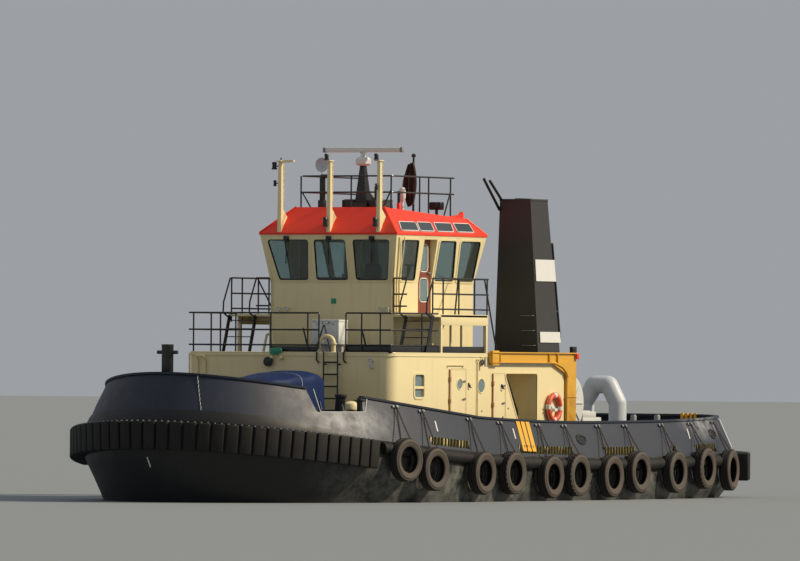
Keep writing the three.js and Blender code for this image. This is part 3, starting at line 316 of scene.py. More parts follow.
def toned_patch(material, pale, middle, reach, amount):
    """Mixes another colour into a finish round one place, broken up by noise, the same on both sides of the
    boat. It paints reflected light on the hull, shade on the gantry's after post and a paler patch under the
    notch.
    """
    tree = material.node_tree
    surface = next(node for node in tree.nodes if node.type == "BSDF_PRINCIPLED")
    here = put(tree, "ShaderNodeTexCoord").outputs["Object"]
    mirrored = put(tree, "ShaderNodeVectorMath", {0: here}, operation="ABSOLUTE").outputs[0]
    if middle[0] < 0:
        mirrored = put(tree, "ShaderNodeVectorMath", {0: mirrored, 1: (-1.0, 1.0, 1.0)},
                       operation="MULTIPLY").outputs[0]
    away = put(tree, "ShaderNodeVectorMath", {0: mirrored, 1: middle}, operation="SUBTRACT").outputs[0]
    spread = put(tree, "ShaderNodeVectorMath", {0: away, 1: reach}, operation="DIVIDE").outputs[0]
    gone = put(tree, "ShaderNodeVectorMath", {0: spread}, operation="LENGTH").outputs["Value"]
    near = put(tree, "ShaderNodeMapRange", {"Value": gone, "From Min": 1.0, "From Max": 0.2,
                                            "To Max": amount})
    # Noise breaks the patch into blotches: painted reflected light on the hull, painted shade on the gantry
    # post
    marks = put(tree, "ShaderNodeTexNoise", {"Vector": here, "Scale": 2.6, "Detail": 9.0, "Roughness": 0.7})
    worn = put(tree, "ShaderNodeMapRange", {"Value": marks.outputs["Fac"], "From Min": 0.38,
                                            "From Max": 0.62})
    share = put(tree, "ShaderNodeMath", {0: near.outputs[0], 1: worn.outputs[0]}, operation="MULTIPLY")
    old = surface.inputs["Base Color"].links[0].from_socket
    mixed = put(tree, "ShaderNodeMix", {"Factor": share.outputs[0], "A": old, "B": linear(pale)},
                data_type="RGBA")
    tree.links.new(mixed.outputs["Result"], surface.inputs["Base Color"])


# From amidships to the stern the side between the tyres is painted paler grey-green: painted reflected light,
# standing for the light the water throws up onto the plating
toned_patch(hull_black, 0x6E7068, (-4.0, 4.2, 0.5), (11.5, 1.6, 1.1), 0.9)
antifouling = marine_paint("red-brown antifouling", 0x4A2018, 0x5A2C20, 0.75, streak=0.4, grime=0x3A3A2A)
deck_grey = marine_paint("gritty grey deck paint", 0x34393B, 0x45494A, 0.8, streak=0.3)
hull_mesh = bpy.data.meshes.new("hull_plating")
hull_mesh.from_pydata(hull_points, [], hull_faces)
hull_mesh.polygons.foreach_set("material_index", hull_marks)
merged = bmesh.new()
merged.from_mesh(hull_mesh)
bmesh.ops.remove_doubles(merged, verts=merged.verts, dist=0.0005)
bmesh.ops.dissolve_degenerate(merged, edges=merged.edges, dist=0.0005)
merged.to_mesh(hull_mesh)
merged.free()
hull_piece = finished("hull_plating", hull_mesh, [hull_black, antifouling, deck_grey], "hull_paint")
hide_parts("hull")

# The bulwarks. Steel plate above the deck edge that leans inboard, with a flat rail on top, a notch
# over the port and starboard bow for the lines, and freeing ports along its foot.
RIM = 0.93
RIM_BOW_EXTRA = 0.24
RIM_RISE_START = 3.5
LEAN = 0.45


def rim_height(x):
    """Height of the bulwark above the deck edge at one station."""
    return RIM + RIM_BOW_EXTRA * max(0.0, (x - RIM_RISE_START) / (STEM_X - RIM_RISE_START)) ** 0.8


def edge_path():
    """The deck edge as point and outward direction, stem to transom on the port side."""
    points = half_outline(*deck_line)
    path = []
    for i, (x, y) in enumerate(points):
        x0, y0 = points[i - 1] if i else (points[1][0], -points[1][1])
        x1, y1 = points[i + 1] if i + 1 < len(points) else (points[i - 1][0], -points[i - 1][1])
        out = Vector((y1 - y0, x0 - x1)).normalized()
        path.append((x, y, out.x, out.y))
    return path


def carried(path, section, sign=1.0):
    """Corner points and faces of a closed section carried along a path."""
    corners = []
    for x, y, out_x, out_y in path:
        corners += [(x + out_x * out, sign * (y + out_y * out), z) for out, z in section(x)]
    size = len(section(path[0][0]))
    faces = []
    for r in range(len(path) - 1):
        for i in range(size):
            a, b = r * size + i, r * size + (i + 1) % size
            faces.append((a, b, b + size, a + size))
    faces += [tuple(range(size)), tuple(range(len(corners) - size, len(corners)))[::-1]]
    return corners, faces


def bulwark_section(x):
    foot, rise = sheer(x), rim_height(x)
    lean = rise * LEAN
    middle = lean / 2
    return [(-0.03, foot - 0.03), (-0.03 - middle, foot + rise / 2), (-0.03 - lean, foot + rise - 0.05),
            (0.01 - lean, foot + rise - 0.05), (0.01 - lean, foot + rise), (-0.13 - lean, foot + rise),
            (-0.13 - lean, foot + rise - 0.05), (-0.09 - lean, foot + rise - 0.05),
            (-0.09 - middle, foot + rise / 2), (-0.09, foot - 0.03)]


NOTCH = [(8.65, 2.23), (10.15, 2.23), (10.2, 3.4), (8.03, 3.4)]
# Freeing ports: aft end, forward end
freeing_ports = [(4.5, 6.3), (-1.0, 1.85), (-4.4, -2.7), (-6.85, -6.6), (-9.6, -8.1)]
PORT_FOOT = 0.06
PORT_HEIGHT = 0.2


def side_prism(outline, near, far):
    """Corner points and faces of an outline in the X-Z plane between two breadths."""
    size = len(outline)
    corners = [(x, y, z) for y in (near, far) for x, z in outline]
    faces = [tuple(range(size)), tuple(range(size, 2 * size))[::-1]]
    faces += [(i, size + i, size + (i + 1) % size, (i + 1) % size) for i in range(size)]
    return corners, faces


def cut(mesh, cutters):
    """The mesh with a list of solids cut from it."""
    blank = bpy.data.objects.new("blank", mesh)
    scene.collection.objects.link(blank)
    tools = []
    for corners, faces in cutters:
        tool_mesh = bpy.data.meshes.new("cutter")
        tool_mesh.from_pydata(corners, [], faces)
        squared = bmesh.new()
        squared.from_mesh(tool_mesh)
        bmesh.ops.recalc_face_normals(squared, faces=squared.faces)
        squared.to_mesh(tool_mesh)
        squared.free()
        tool = bpy.data.objects.new("cutter", tool_mesh)
        scene.collection.objects.link(tool)
        tools.append(tool)
        step = blank.modifiers.new("cut", "BOOLEAN")
        step.operation = "DIFFERENCE"
        step.object = tool
        step.solver = "EXACT"
    bpy.context.view_layer.update()
    graph = bpy.context.evaluated_depsgraph_get()
    result = bpy.data.meshes.new_from_object(blank.evaluated_get(graph), depsgraph=graph)
    for tool in [blank, *tools]:
        bpy.data.objects.remove(tool)
    return result


def outward_mesh(name, corners, faces):
    """A mesh from points and faces with all its faces turned outwards."""
    mesh = bpy.data.meshes.new(name)
    mesh.from_pydata(corners, [], faces)
    shape = bmesh.new()
    shape.from_mesh(mesh)
    bmesh.ops.remove_doubles(shape, verts=shape.verts, dist=0.0002)
    bmesh.ops.recalc_face_normals(shape, faces=shape.faces)
    shape.to_mesh(mesh)
    shape.free()
    return mesh


bulwark_paint = marine_paint("blue-black bulwark enamel", 0x141D2D, 0x1D273A, 0.52, streak=0.3, ripple=0.006,
                             grime=0x4A4A4C)
# The plate under the landing notch is painted paler grey in a blotchy patch
toned_patch(bulwark_paint, 0xB4B6B8, (9.3, 3.9, 2.0), (1.9, 1.4, 0.55), 0.6)
port_path = edge_path()


def edge_at(x):
    """The deck edge on the port side at one station: half breadth and outward direction."""
    for (x0, *before), (x1, *after) in zip(port_path, port_path[1:]):
        if x1 <= x <= x0:
            share = (x0 - x) / (x0 - x1) if x0 > x1 else 0.0
            return [a + (b - a) * share for a, b in zip(before, after)]
    return port_path[-1][1:]


SIDES = (("port", 1.0), ("starboard", -1.0))
for side, sign in SIDES:
    corners, faces = carried(port_path, bulwark_section, sign)
    mesh = outward_mesh("bulwark", corners, faces)
    openings = [side_prism(NOTCH, 1.5 * sign, 5.2 * sign)]
    for aft_end, fore_end in freeing_ports:
        z0, z1 = sheer(aft_end) + PORT_FOOT, sheer(fore_end) + PORT_FOOT
        openings.append(side_prism([(aft_end, z0), (fore_end, z1), (fore_end, z1 + PORT_HEIGHT),
                                    (aft_end, z0 + PORT_HEIGHT)], 3.2 * sign, 5.0 * sign))
    plating = finished(f"bulwark_plating_{side}", cut(mesh, openings), bulwark_paint, "bulwark_paint")
    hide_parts(f"bulwark_{side}")

# Round the bow a sloping black plate closes the step between the foot of the bulwark and the fender
SHELF_END = 9.2
SHELF_HEIGHT = 0.25


def shelf_section(x):
    foot, rise = sheer(x), 0.02 + SHELF_HEIGHT * min(1.0, (x - SHELF_END) / 2.4)
    return [(0.0, foot - 0.02), (0.0, foot + 0.01), (0.0 - LEAN * rise, foot + rise),
            (-0.05 - LEAN * rise, foot + rise), (-0.05, foot - 0.02)]


port_shelf = [point for point in port_path if point[0] > SHELF_END]
whole_shelf = [(x, -y, ox, -oy) for x, y, ox, oy in reversed(port_shelf)][:-1] + port_shelf
drawn("bow_shelf_plate", *carried(whole_shelf, shelf_section), hull_black, "black_paint")


def on_bulwark(x, rise, sign=1.0):
    """The place on the outside of the bulwark at one station and height above the deck edge: across is
    along the plate towards the stern, up is up the plate, and the middle axis points outboard."""
    y, out_x, out_y = edge_at(x)
    out = Vector((out_x, out_y * sign, 0.0)).normalized()
    foot = Vector((x, y * sign, sheer(x)))
    up = (Vector((0, 0, 1)) - out * LEAN).normalized()
    along_plate = out.cross(Vector((0, 0, 1))) * -1.0
    normal = up.cross(along_plate) if up.cross(along_plate).dot(out) > 0 else along_plate.cross(up)
    place = Matrix((along_plate, normal, up)).transposed().to_4x4()
    place.translation = foot - out * (0.03 + LEAN * rise) + Vector((0, 0, rise))
    return place


# Paint marks on the bulwarks. Three slanted yellow bands show the pilots where to step, and short
# white ticks mark the frames; all are brushed on by hand and a little proud of the plate.
yellow_paint = marine_paint("ochre yellow enamel", 0xE9B02F, 0xDFA224, 0.42, streak=0.35, grime=0x7A5420)
white_paint = marine_paint("white enamel", 0xE4E5E1, 0xD6D8D4, 0.42, streak=0.3, grime=0x7A6E58)


def painted_band(foot_x, top_x, width, low, high, sign):
    """Corner points and faces of a thin band painted up the bulwark."""
    steps = 12
    corners = []
    for i in range(steps + 1):
        share = i / steps
        rise = low + (high - low) * share
        x = foot_x + (top_x - foot_x) * share
        for edge_x in (x - width / 2, x + width / 2):
            foot = sheer(edge_x)
            y = edge_at(edge_x)[0] - 0.03 - LEAN * rise
            corners += [(edge_x, sign * (y + 0.009), foot + rise), (edge_x, sign * (y - 0.01), foot + rise)]
    faces = [(0, 2, 3, 1), (len(corners) - 4, len(corners) - 3, len(corners) - 1, len(corners) - 2)]
    for i in range(steps):
        a = i * 4
        faces += [(a, a + 4, a + 6, a + 2), (a + 1, a + 3, a + 7, a + 5), (a, a + 1, a + 5, a + 4),
                  (a + 2, a + 6, a + 7, a + 3)]
    return corners, faces


def joined(solids):
    """Several sets of corner points and faces as one set."""
    all_corners, all_faces = [], []
    for corners, faces in solids:
        all_faces += [tuple(i + len(all_corners) for i in face) for face in faces]
        all_corners += corners
    return all_corners, all_faces


BAND_WIDTH = 0.19
band_feet = [1.6, 1.35, 1.1]
BAND_SLANT = -0.2
for side, sign in SIDES:
    bands = [painted_band(x, x + BAND_SLANT, BAND_WIDTH, 0.12, 0.87, sign) for x in band_feet]
    drawn(f"pilot_bands_{side}", *joined(bands), yellow_paint, "yellow_paint")
    ticks = [painted_band(x, x - 0.06, 0.05, 0.42, 0.68, sign) for x in (5.82, 1.87, -7.95)]
    drawn(f"frame_ticks_{side}", *joined(ticks), white_paint, "white_paint")


# Fenders. Moulded rubber blocks bolted side by side round the bow and the stern, with a half-round
# belting between them along the sides.


def worn_rubber(name, colour, scuffed, scuff=0.5):
    """Black moulded rubber: dull, with grey-brown scuffs and a fine pebbled skin."""
    material, tree = new_material(name)
    place = put(tree, "ShaderNodeTexCoord").outputs["Object"]
    rubbed = put(tree, "ShaderNodeTexNoise", {"Vector": place, "Scale": 2.4, "Detail": 9.0, "Roughness": 0.7})
    band = put(tree, "ShaderNodeMapRange", {"Value": rubbed.outputs["Fac"], "From Min": 0.45,
                                            "From Max": 0.75, "To Max": scuff})
    shade = put(tree, "ShaderNodeMix", {"Factor": band.outputs[0], "A": linear(colour), "B": linear(scuffed)},
                data_type="RGBA")
    pebbles = put(tree, "ShaderNodeTexNoise", {"Vector": place, "Scale": 90.0, "Detail": 3.0})
    skin = put(tree, "ShaderNodeBump", {"Height": pebbles.outputs["Fac"], "Distance": 0.002,
                                        "Strength": 0.7})
    surface = put(tree, "ShaderNodeBsdfPrincipled", {
        "Base Color": shade.outputs["Result"], "Roughness": 0.72, "Normal": skin.outputs[0],
        "Specular IOR Level": 0.35})
    put(tree, "ShaderNodeOutputMaterial", {"Surface": surface.outputs[0]})
    return material


def new_tree(name, inputs):
    """An empty Geometry Nodes tree with named inputs, its input node and a function that closes it."""
    tree = bpy.data.node_groups.new(name, "GeometryNodeTree")
    for label, kind in inputs:
        tree.interface.new_socket(label, in_out="INPUT", socket_type="NodeSocket" + kind)
    tree.interface.new_socket("Made", in_out="OUTPUT", socket_type="NodeSocketGeometry")
    entry = tree.nodes.new("NodeGroupInput")

    def close(geometry):
        """Ends the tree in real geometry with its finish."""
        real = put(tree, "GeometryNodeRealizeInstances", {"Geometry": geometry})
        dressed = put(tree, "GeometryNodeSetMaterial", {"Geometry": real.outputs[0],
                                                        "Material": entry.outputs["Finish"]})
        tree.links.new(dressed.outputs[0], tree.nodes.new("NodeGroupOutput").inputs[0])

    return tree, entry.outputs, close


def grown(tree, lines, settings):
    """The plain mesh that a tree makes from drawn lines."""
    drawing = bpy.data.meshes.new("lines")
    points, edges = [], []
    for line in lines:
        edges += [(len(points) + i, len(points) + i + 1) for i in range(len(line) - 1)]
        points += [tuple(point) for point in line]
    drawing.from_pydata(points, edges, [])
    holder = bpy.data.objects.new("holder", drawing)
    scene.collection.objects.link(holder)
    step = holder.modifiers.new("growth", "NODES")
    step.node_group = tree
    for socket in tree.interface.items_tree:
        if socket.in_out == "INPUT" and socket.name in settings:
            step[socket.identifier] = settings[socket.name]
    bpy.context.view_layer.update()
    graph = bpy.context.evaluated_depsgraph_get()
    mesh = bpy.data.meshes.new_from_object(holder.evaluated_get(graph), depsgraph=graph)
    bpy.data.objects.remove(holder)
    return mesh


# A row tree sets one item again and again along drawn lines, upright, and can turn every other one
row_tree, row_in, close_row = new_tree("row of items", [
    ("Lines", "Geometry"), ("Item", "Object"), ("Spacing", "Float"), ("Turn", "Float"),
    ("Finish", "Material")])
row_curve = put(row_tree, "GeometryNodeMeshToCurve", {"Mesh": row_in["Lines"]})
row_points = put(row_tree, "GeometryNodeResampleCurve", {"Curve": row_curve.outputs[0],
                                                         "Length": row_in["Spacing"]}, mode="LENGTH")
row_item = put(row_tree, "GeometryNodeObjectInfo", {"Object": row_in["Item"]})
row_tangent = put(row_tree, "GeometryNodeInputTangent")
row_facing = put(row_tree, "FunctionNodeAlignRotationToVector", {"Vector": row_tangent.outputs[0]}, axis="X")
row_upright = put(row_tree, "FunctionNodeAlignRotationToVector",
                  {"Rotation": row_facing.outputs[0], "Vector": (0.0, 0.0, 1.0)}, axis="Z", pivot_axis="X")
row_index = put(row_tree, "GeometryNodeInputIndex")
row_odd = put(row_tree, "ShaderNodeMath", {0: row_index.outputs[0], 1: 2.0}, operation="MODULO")
row_turn = put(row_tree, "ShaderNodeMath", {0: row_odd.outputs[0], 1: row_in["Turn"]}, operation="MULTIPLY")
row_twist = put(row_tree, "FunctionNodeAxisAngleToRotation", {"Axis": (1.0, 0.0, 0.0),
                                                              "Angle": row_turn.outputs[0]})
row_way = put(row_tree, "FunctionNodeRotateRotation", {"Rotation": row_upright.outputs[0],
                                                       "Rotate By": row_twist.outputs[0]},
              rotation_space="LOCAL")
row_set = put(row_tree, "GeometryNodeInstanceOnPoints", {
    "Points": row_points.outputs[0], "Instance": row_item.outputs["Geometry"],
    "Rotation": row_way.outputs[0]})
close_row(row_set.outputs[0])


def row(name, lines, item_mesh, spacing, material, slot, body="boat", turn=0.0, **more):
    """A piece made of one item repeated along drawn lines."""
    item = bpy.data.objects.new("item", item_mesh)
    scene.collection.objects.link(item)
    mesh = grown(row_tree, lines, {"Item": item, "Spacing": spacing, "Turn": turn, "Finish": material})
    bpy.data.objects.remove(item)
    return finished(name, mesh, material, slot, body, **more)


def block(shape, low, high, ease=0.008, segments=2):
    """A plate or bar between two corners, with its edges eased."""
    low, high = [Vector([pick(a, b) for a, b in zip(low, high)]) for pick in (min, max)]
    made = bmesh.ops.create_cube(shape, size=1.0)["verts"]
    for corner in made:
        corner.co = Vector([low[i] + (corner.co[i] + 0.5) * (high[i] - low[i]) for i in range(3)])
    if ease:
        edges = list({edge for corner in made for edge in corner.link_edges})
        bmesh.ops.bevel(shape, geom=edges, offset=ease, segments=segments, profile=0.5, affect="EDGES")


def block_in(shape, place, low, high, ease=0.004):
    """A block drawn in a local place."""
    start = len(shape.verts)
    block(shape, low, high, ease)
    shape.verts.ensure_lookup_table()
    for corner in shape.verts[start:]:
        corner.co = place @ corner.co


def shaped(name, make):
    """A mesh from a function that fills an empty shape."""
    shape = bmesh.new()
    make(shape)
    mesh = bpy.data.meshes.new(name)
    shape.to_mesh(mesh)
    shape.free()
    return mesh


def piece(name, make, materials, slot, body="boat", **more):
    """A piece of the boat from a function that fills an empty shape."""
    return finished(name, shaped(name, make), materials, slot, body, **more)


def offset_line(keep, out, down, sign=1.0, wrap=None):
    """The deck edge moved outboard and down, on the stations to keep, round the stem or the stern."""
    line = [Vector((x + ox * out, sign * (y + oy * out), sheer(x) - down)) for x, y, ox, oy in port_path
            if keep(x)]
    other = [Vector((p.x, -p.y, p.z)) for p in reversed(line)]
    if wrap == "bow":
        return other[:-1] + line
    if wrap == "stern":
        return line + other[1:]
    return line


def swept_band(name, keep, section, wrap, material, slot, node=None):
    """A rubber band of one section carried along the deck edge."""
    path = [p for p in port_path if keep(p[0])]
    starboard = [(x, -y, ox, -oy) for x, y, ox, oy in reversed(path)]
    if wrap == "bow":
        path = starboard[:-1] + path
    elif wrap == "stern":
        path = path + starboard[1:]
    corners, faces = carried(path, section)
    band = drawn(name, corners, faces, material, slot)
    if node:
        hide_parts(node)
    return band


fender_rubber = worn_rubber("moulded fender rubber", 0x141413, 0x2E2B28, 0.5)
groove_rubber = worn_rubber("shaded rubber backing", 0x0D0D0D, 0x1A1918, 0.3)
BELOW_DECK = 0.025
BOW_FENDER_END = 8.85
BOW_FENDER_DEPTH = 0.7
BOW_FENDER_THICK = 0.36
BLOCK_WIDTH = 0.30
BLOCK_GAP = 0.028
STERN_FENDER_START = -11.0
STERN_FENDER_DEPTH = 0.72


def fender(name, keep, depth, thick, wrap, node):
    """Backing band and the row of bolted blocks over it."""
    def backing(x):
        top = sheer(x) - BELOW_DECK
        return [(-0.06, top - 0.02), (thick - 0.06, top - 0.02), (thick - 0.06, top - depth + 0.02),
                (-0.1, top - depth + 0.02)]

    def one_block(shape):
        block(shape, (-BLOCK_WIDTH / 2, -thick / 2, -depth / 2), (BLOCK_WIDTH / 2, thick / 2, depth / 2),
              0.035, 3)

    swept_band(f"{name}_backing", keep, backing, wrap, groove_rubber, "fender_rubber", node)
    item = shaped("fender block", one_block)
    line = offset_line(keep, thick / 2, BELOW_DECK + depth / 2, wrap=wrap)
    row(f"{name}_blocks", [line], item, BLOCK_WIDTH + BLOCK_GAP, fender_rubber, "fender_rubber")


fender("bow_fender", lambda x: x > BOW_FENDER_END, BOW_FENDER_DEPTH, BOW_FENDER_THICK, "bow", "bow_fender")
fender("stern_fender", lambda x: x < STERN_FENDER_START, STERN_FENDER_DEPTH, 0.42, "stern", "stern_fender")

# Bolts hold a flat steel strip along the top of the bow fender; their worn heads catch the light
worn_steel = marine_paint("worn bare steel", 0x77787A, 0x8C8A86, 0.4, streak=0.5, grime=0x5A3A22)


def bolt_head(shape):
    bmesh.ops.create_cone(shape, cap_ends=True, segments=6, radius1=0.026, radius2=0.022, depth=0.03)


bolt_line = offset_line(lambda x: x > BOW_FENDER_END, BOW_FENDER_THICK - 0.06, BELOW_DECK - 0.008,
                        wrap="bow")
row("bow_fender_bolts", [bolt_line], shaped("bolt", bolt_head), (BLOCK_WIDTH + BLOCK_GAP) / 2, worn_steel,
    "fender_rubber")

BELT_THICK = 0.17
BELT_DEPTH = 0.33


def belt_section(x):
    top = sheer(x) - BELOW_DECK
    middle = top - BELT_DEPTH / 2
    arc = [(-0.04 + (BELT_THICK + 0.04) * math.cos(t), middle + BELT_DEPTH / 2 * math.sin(t))
           for t in [math.pi / 2 - math.pi * i / 10 for i in range(11)]]
    return [(-0.06, top), *arc[1:-1], (-0.06, top - BELT_DEPTH)]


def beside(x):
    return STERN_FENDER_START + 0.35 < x < BOW_FENDER_END - 0.25


for side, sign in SIDES:
    path = [p for p in port_path if beside(p[0])]
    corners, faces = carried(path, belt_section, sign)
    belt = drawn(f"side_belt_{side}", corners, faces, fender_rubber, "fender_rubber")
    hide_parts(f"side_fender_{side}")

# Tyres. Worn truck tyres hang along the belting as fenders, some with heavy lugs and some nearly
# bald, each on two chains from an eye under the bulwark rail.
TYRE_RADIUS = 0.54
TYRE_HOLE = 0.325
TYRE_WIDTH = 0.28
TYRE_PRESSED = 0.115
# Station and height of the centre, and whether the tread is lugged
tyres = [(7.74, 1.06, 0), (6.62, 0.83, 0), (4.36, 0.72, 0), (2.79, 0.72, 1), (0.78, 0.61, 0),
         (-0.63, 0.65, 1), (-2.46, 0.61, 0), (-3.96, 0.71, 0), (-6.1, 0.7, 0), (-7.96, 0.79, 1),
         (-9.84, 0.73, 0)]
tyre_rubber = worn_rubber("weathered tyre rubber", 0x141313, 0x2E2A26, 0.6)


def dust_and_sunlit_walls(material, dust_and_sunlight, amount):
    """Greys the faces that look sideways: dust on the walls of hung tyres, and painted sunlight where those
    walls face the sun.
    """
    tree = material.node_tree
    surface = next(node for node in tree.nodes if node.type == "BSDF_PRINCIPLED")
    normal = put(tree, "ShaderNodeNewGeometry").outputs["Normal"]
    facing = put(tree, "ShaderNodeSeparateXYZ", {"Vector": normal})
    sideways = put(tree, "ShaderNodeMath", {0: facing.outputs["Y"]}, operation="ABSOLUTE")
    wall = put(tree, "ShaderNodeMapRange", {"Value": sideways.outputs[0], "From Min": 0.55, "From Max": 0.95,
                                            "To Max": amount})
    old = surface.inputs["Base Color"].links[0].from_socket
    mixed = put(tree, "ShaderNodeMix", {"Factor": wall.outputs[0], "A": old, "B": linear(dust_and_sunlight)},
                data_type="RGBA")
    tree.links.new(mixed.outputs["Result"], surface.inputs["Base Color"])


# The tyre walls are greyed for dust, and as painted sunlight on the walls that face the sun
dust_and_sunlit_walls(tyre_rubber, 0x5E554C, 0.75)
chain_steel = marine_paint("rusty chain steel", 0x2A2624, 0x3B2E26, 0.6, streak=0.6, grime=0x4A2A18)


def turns(count, shift=0.0):
    """The angles of a number of even steps round a circle."""
    return [2 * math.pi * (i + shift) / count for i in range(count)]


def closed_ring(shape, loops):
    """A solid through loops of points that comes back to its first loop."""
    rings = [[shape.verts.new(point) for point in loop] for loop in loops]
    for i, here in enumerate(rings):
        there = rings[(i + 1) % len(rings)]
        for j in range(len(here)):
            k = (j + 1) % len(here)
            shape.faces.new((here[j], here[k], there[k], there[j]))


def lathe(shape, profile, place, sides=40):
    """A turned form from closed (radius, along) pairs, about the local Y axis of a place."""
    closed_ring(shape, [[place @ Vector((r * math.cos(turn), y, r * math.sin(turn))) for r, y in profile]
                        for turn in turns(sides)])


def upright(x, y, z):
    """A place for a turned form that stands on a point."""
    return Matrix.Translation((x, y, z)) @ Matrix.Rotation(math.pi / 2, 4, "X")


def towards_bow(x, y, z):
    """A place for a turned form that points ahead."""
    return Matrix.Translation((x, y, z)) @ Matrix.Rotation(-math.pi / 2, 4, "Z")


# The radius left at the middle of a turned form
CORE = 0.0005


def tyre_profile():
    """Bead, sidewall with a rub rib, shoulder, grooved tread and back."""
    half = TYRE_WIDTH / 2
    wall = [(TYRE_HOLE, -half * 0.55), (TYRE_HOLE, -half * 0.8), (TYRE_HOLE + 0.025, -half * 0.92),
            (TYRE_HOLE + 0.06, -half), (TYRE_HOLE + 0.11, -half), (TYRE_HOLE + 0.125, -half * 1.06),
            (TYRE_HOLE + 0.14, -half * 0.98), (TYRE_RADIUS - 0.03, -half * 0.9),
            (TYRE_RADIUS - 0.006, -half * 0.72)]
    tread = [(TYRE_RADIUS, -half * 0.6), (TYRE_RADIUS, -half * 0.32), (TYRE_RADIUS - 0.014, -half * 0.28),
             (TYRE_RADIUS - 0.014, -half * 0.2), (TYRE_RADIUS, -half * 0.16)]
    left = wall + tread
    right = [(r, -y) for r, y in reversed(left)]
    cavity = [(TYRE_HOLE + 0.03, half * 0.5), (TYRE_RADIUS - 0.06, half * 0.6),
              (TYRE_RADIUS - 0.06, -half * 0.6), (TYRE_HOLE + 0.03, -half * 0.5)]
    return left + right + cavity


def tyre_place(x, z, sign):
    """The middle of a tyre and the way it faces, hung against the belting."""
    y, out_x, out_y = edge_at(x)
    out = Vector((out_x, sign * out_y, 0.0)).normalized()
    across = Vector((0, 0, 1)).cross(out) * -1.0
    place = Matrix((across, out, Vector((0, 0, 1)))).transposed().to_4x4()
    place.translation = Vector((x, sign * y, z)) + out * (BELT_THICK + TYRE_WIDTH / 2 - TYRE_PRESSED)
    return place


LUGS = 26
for side, sign in SIDES:
    def all_tyres(shape):
        for x, z, lugged in tyres:
            place = tyre_place(x, z, sign)
            lathe(shape, tyre_profile(), place)
            for i in range(LUGS * lugged):
                for face in (-1.0, 1.0):
                    turn = 2 * math.pi * (i + face * 0.25) / LUGS
                    made = bmesh.ops.create_cube(shape, size=1.0)["verts"]
                    for corner in made:
                        corner.co = Vector((corner.co.x * 0.055, corner.co.y * 0.08 + face * 0.075,
                                            corner.co.z * 0.05 + TYRE_RADIUS - 0.022))
                        corner.co = place @ (Matrix.Rotation(turn, 3, "Y") @ corner.co)
    piece(f"tyres_{side}", all_tyres, tyre_rubber, "fender_rubber")

LINK_LENGTH = 0.062
LINK_WIDTH = 0.036
LINK_BAR = 0.007


def chain_link(shape):
    """An oval link of round bar, long along X and wide along Y."""
    bends = 8
    straight = (LINK_LENGTH - LINK_WIDTH) / 2
    ring = [Vector((math.cos(turn) * LINK_WIDTH / 2 + math.copysign(straight, math.cos(turn)),
                    math.sin(turn) * LINK_WIDTH / 2, 0)) for turn in turns(bends, 0.5)]
    up = Vector((0, 0, 1))
    loops = []
    for i, point in enumerate(ring):
        aside = up.cross((ring[(i + 1) % bends] - ring[i - 1]).normalized())
        loops.append([point + (aside * math.cos(t) + up * math.sin(t)) * LINK_BAR for t in turns(5)])
    closed_ring(shape, loops)


EYE_DROP = 0.15
EYE_AFT = 0.35
for side, sign in SIDES:
    lines = []
    eyes = []
    for x, z, lugged in tyres:
        eye_x = x - EYE_AFT
        hook = on_bulwark(eye_x, rim_height(eye_x) - EYE_DROP, sign)
        eyes.append(hook)
        start = hook @ Vector((0, 0.05, 0))
        for lean in (-0.2, 0.2):
            place = tyre_place(x, z, sign)
            end = place @ Vector((lean, 0.02 * sign, math.sqrt((TYRE_RADIUS - 0.06) ** 2 - lean ** 2)))
            sag = Vector((0, 0, -0.03))
            lines.append([start, (start + end) / 2 + sag, end])
    row(f"tyre_chains_{side}", lines, shaped("link", chain_link), LINK_LENGTH * 0.8, chain_steel,
        "black_paint", turn=math.pi / 2)

    def all_eyes(shape):
        for hook in eyes:
            block_in(shape, hook, (-0.014, 0.0, -0.045), (0.014, 0.07, 0.045), 0.006)
            for aside in (-0.09, 0.09):
                block_in(shape, hook, (aside - 0.035, -0.005, -0.02), (aside + 0.035, 0.04, 0.05), 0.012)
    piece(f"tyre_eyes_{side}", all_eyes, worn_steel, "grey_paint")

# Freeing port bars. Upright flat bars welded in each port keep ropes aboard while the water runs off.
cream_paint = marine_paint("cream topside enamel", 0xEEDFB0, 0xE8D7A4, 0.4, streak=0.22, grime=0x9A7440,
                           coat=0.1)
# The bars are dark, with yellow patches mixed in that are painted light: glints of sunlit gear seen through
# the ports
bar_paint = marine_paint("dark bar enamel with painted glints", 0xA89C60, 0x34382C, 0.6, streak=0.9, grime=0x1C1D1E)
BAR_SPACING = 0.15
for side, sign in SIDES:
    lines = []
    for aft_end, fore_end in freeing_ports:
        steps = 8
        line = []
        for i in range(steps + 1):
            x = aft_end + (fore_end - aft_end) * i / steps
            spot = on_bulwark(x, PORT_FOOT + PORT_HEIGHT / 2, sign) @ Vector((0, -0.05, 0))
            line.append((x, spot.y, sheer(x) + PORT_FOOT + PORT_HEIGHT / 2))
        lines.append(line)

    def port_bar(shape):
        block(shape, (-0.012, -0.03, -PORT_HEIGHT / 2 - 0.01), (0.012, 0.03, PORT_HEIGHT / 2 + 0.01), 0.003)
    row(f"freeing_port_bars_{side}", lines, shaped("bar", port_bar), BAR_SPACING, bar_paint, "grey_paint")

# Bulwark brackets. Triangular plates welded inside hold the bulwark to the deck every 0.75 m.
BRACKET_SPACING = 0.75


def lofted(shape, loops):
    """A solid through loops of points, with flat ends."""
    rings = [[shape.verts.new(point) for point in loop] for loop in loops]
    shape.faces.new(rings[0])
    shape.faces.new(rings[-1][::-1])
    for near, far in zip(rings, rings[1:]):
        for i in range(len(near)):
            j = (i + 1) % len(near)
            shape.faces.new((near[i], far[i], far[j], near[j]))


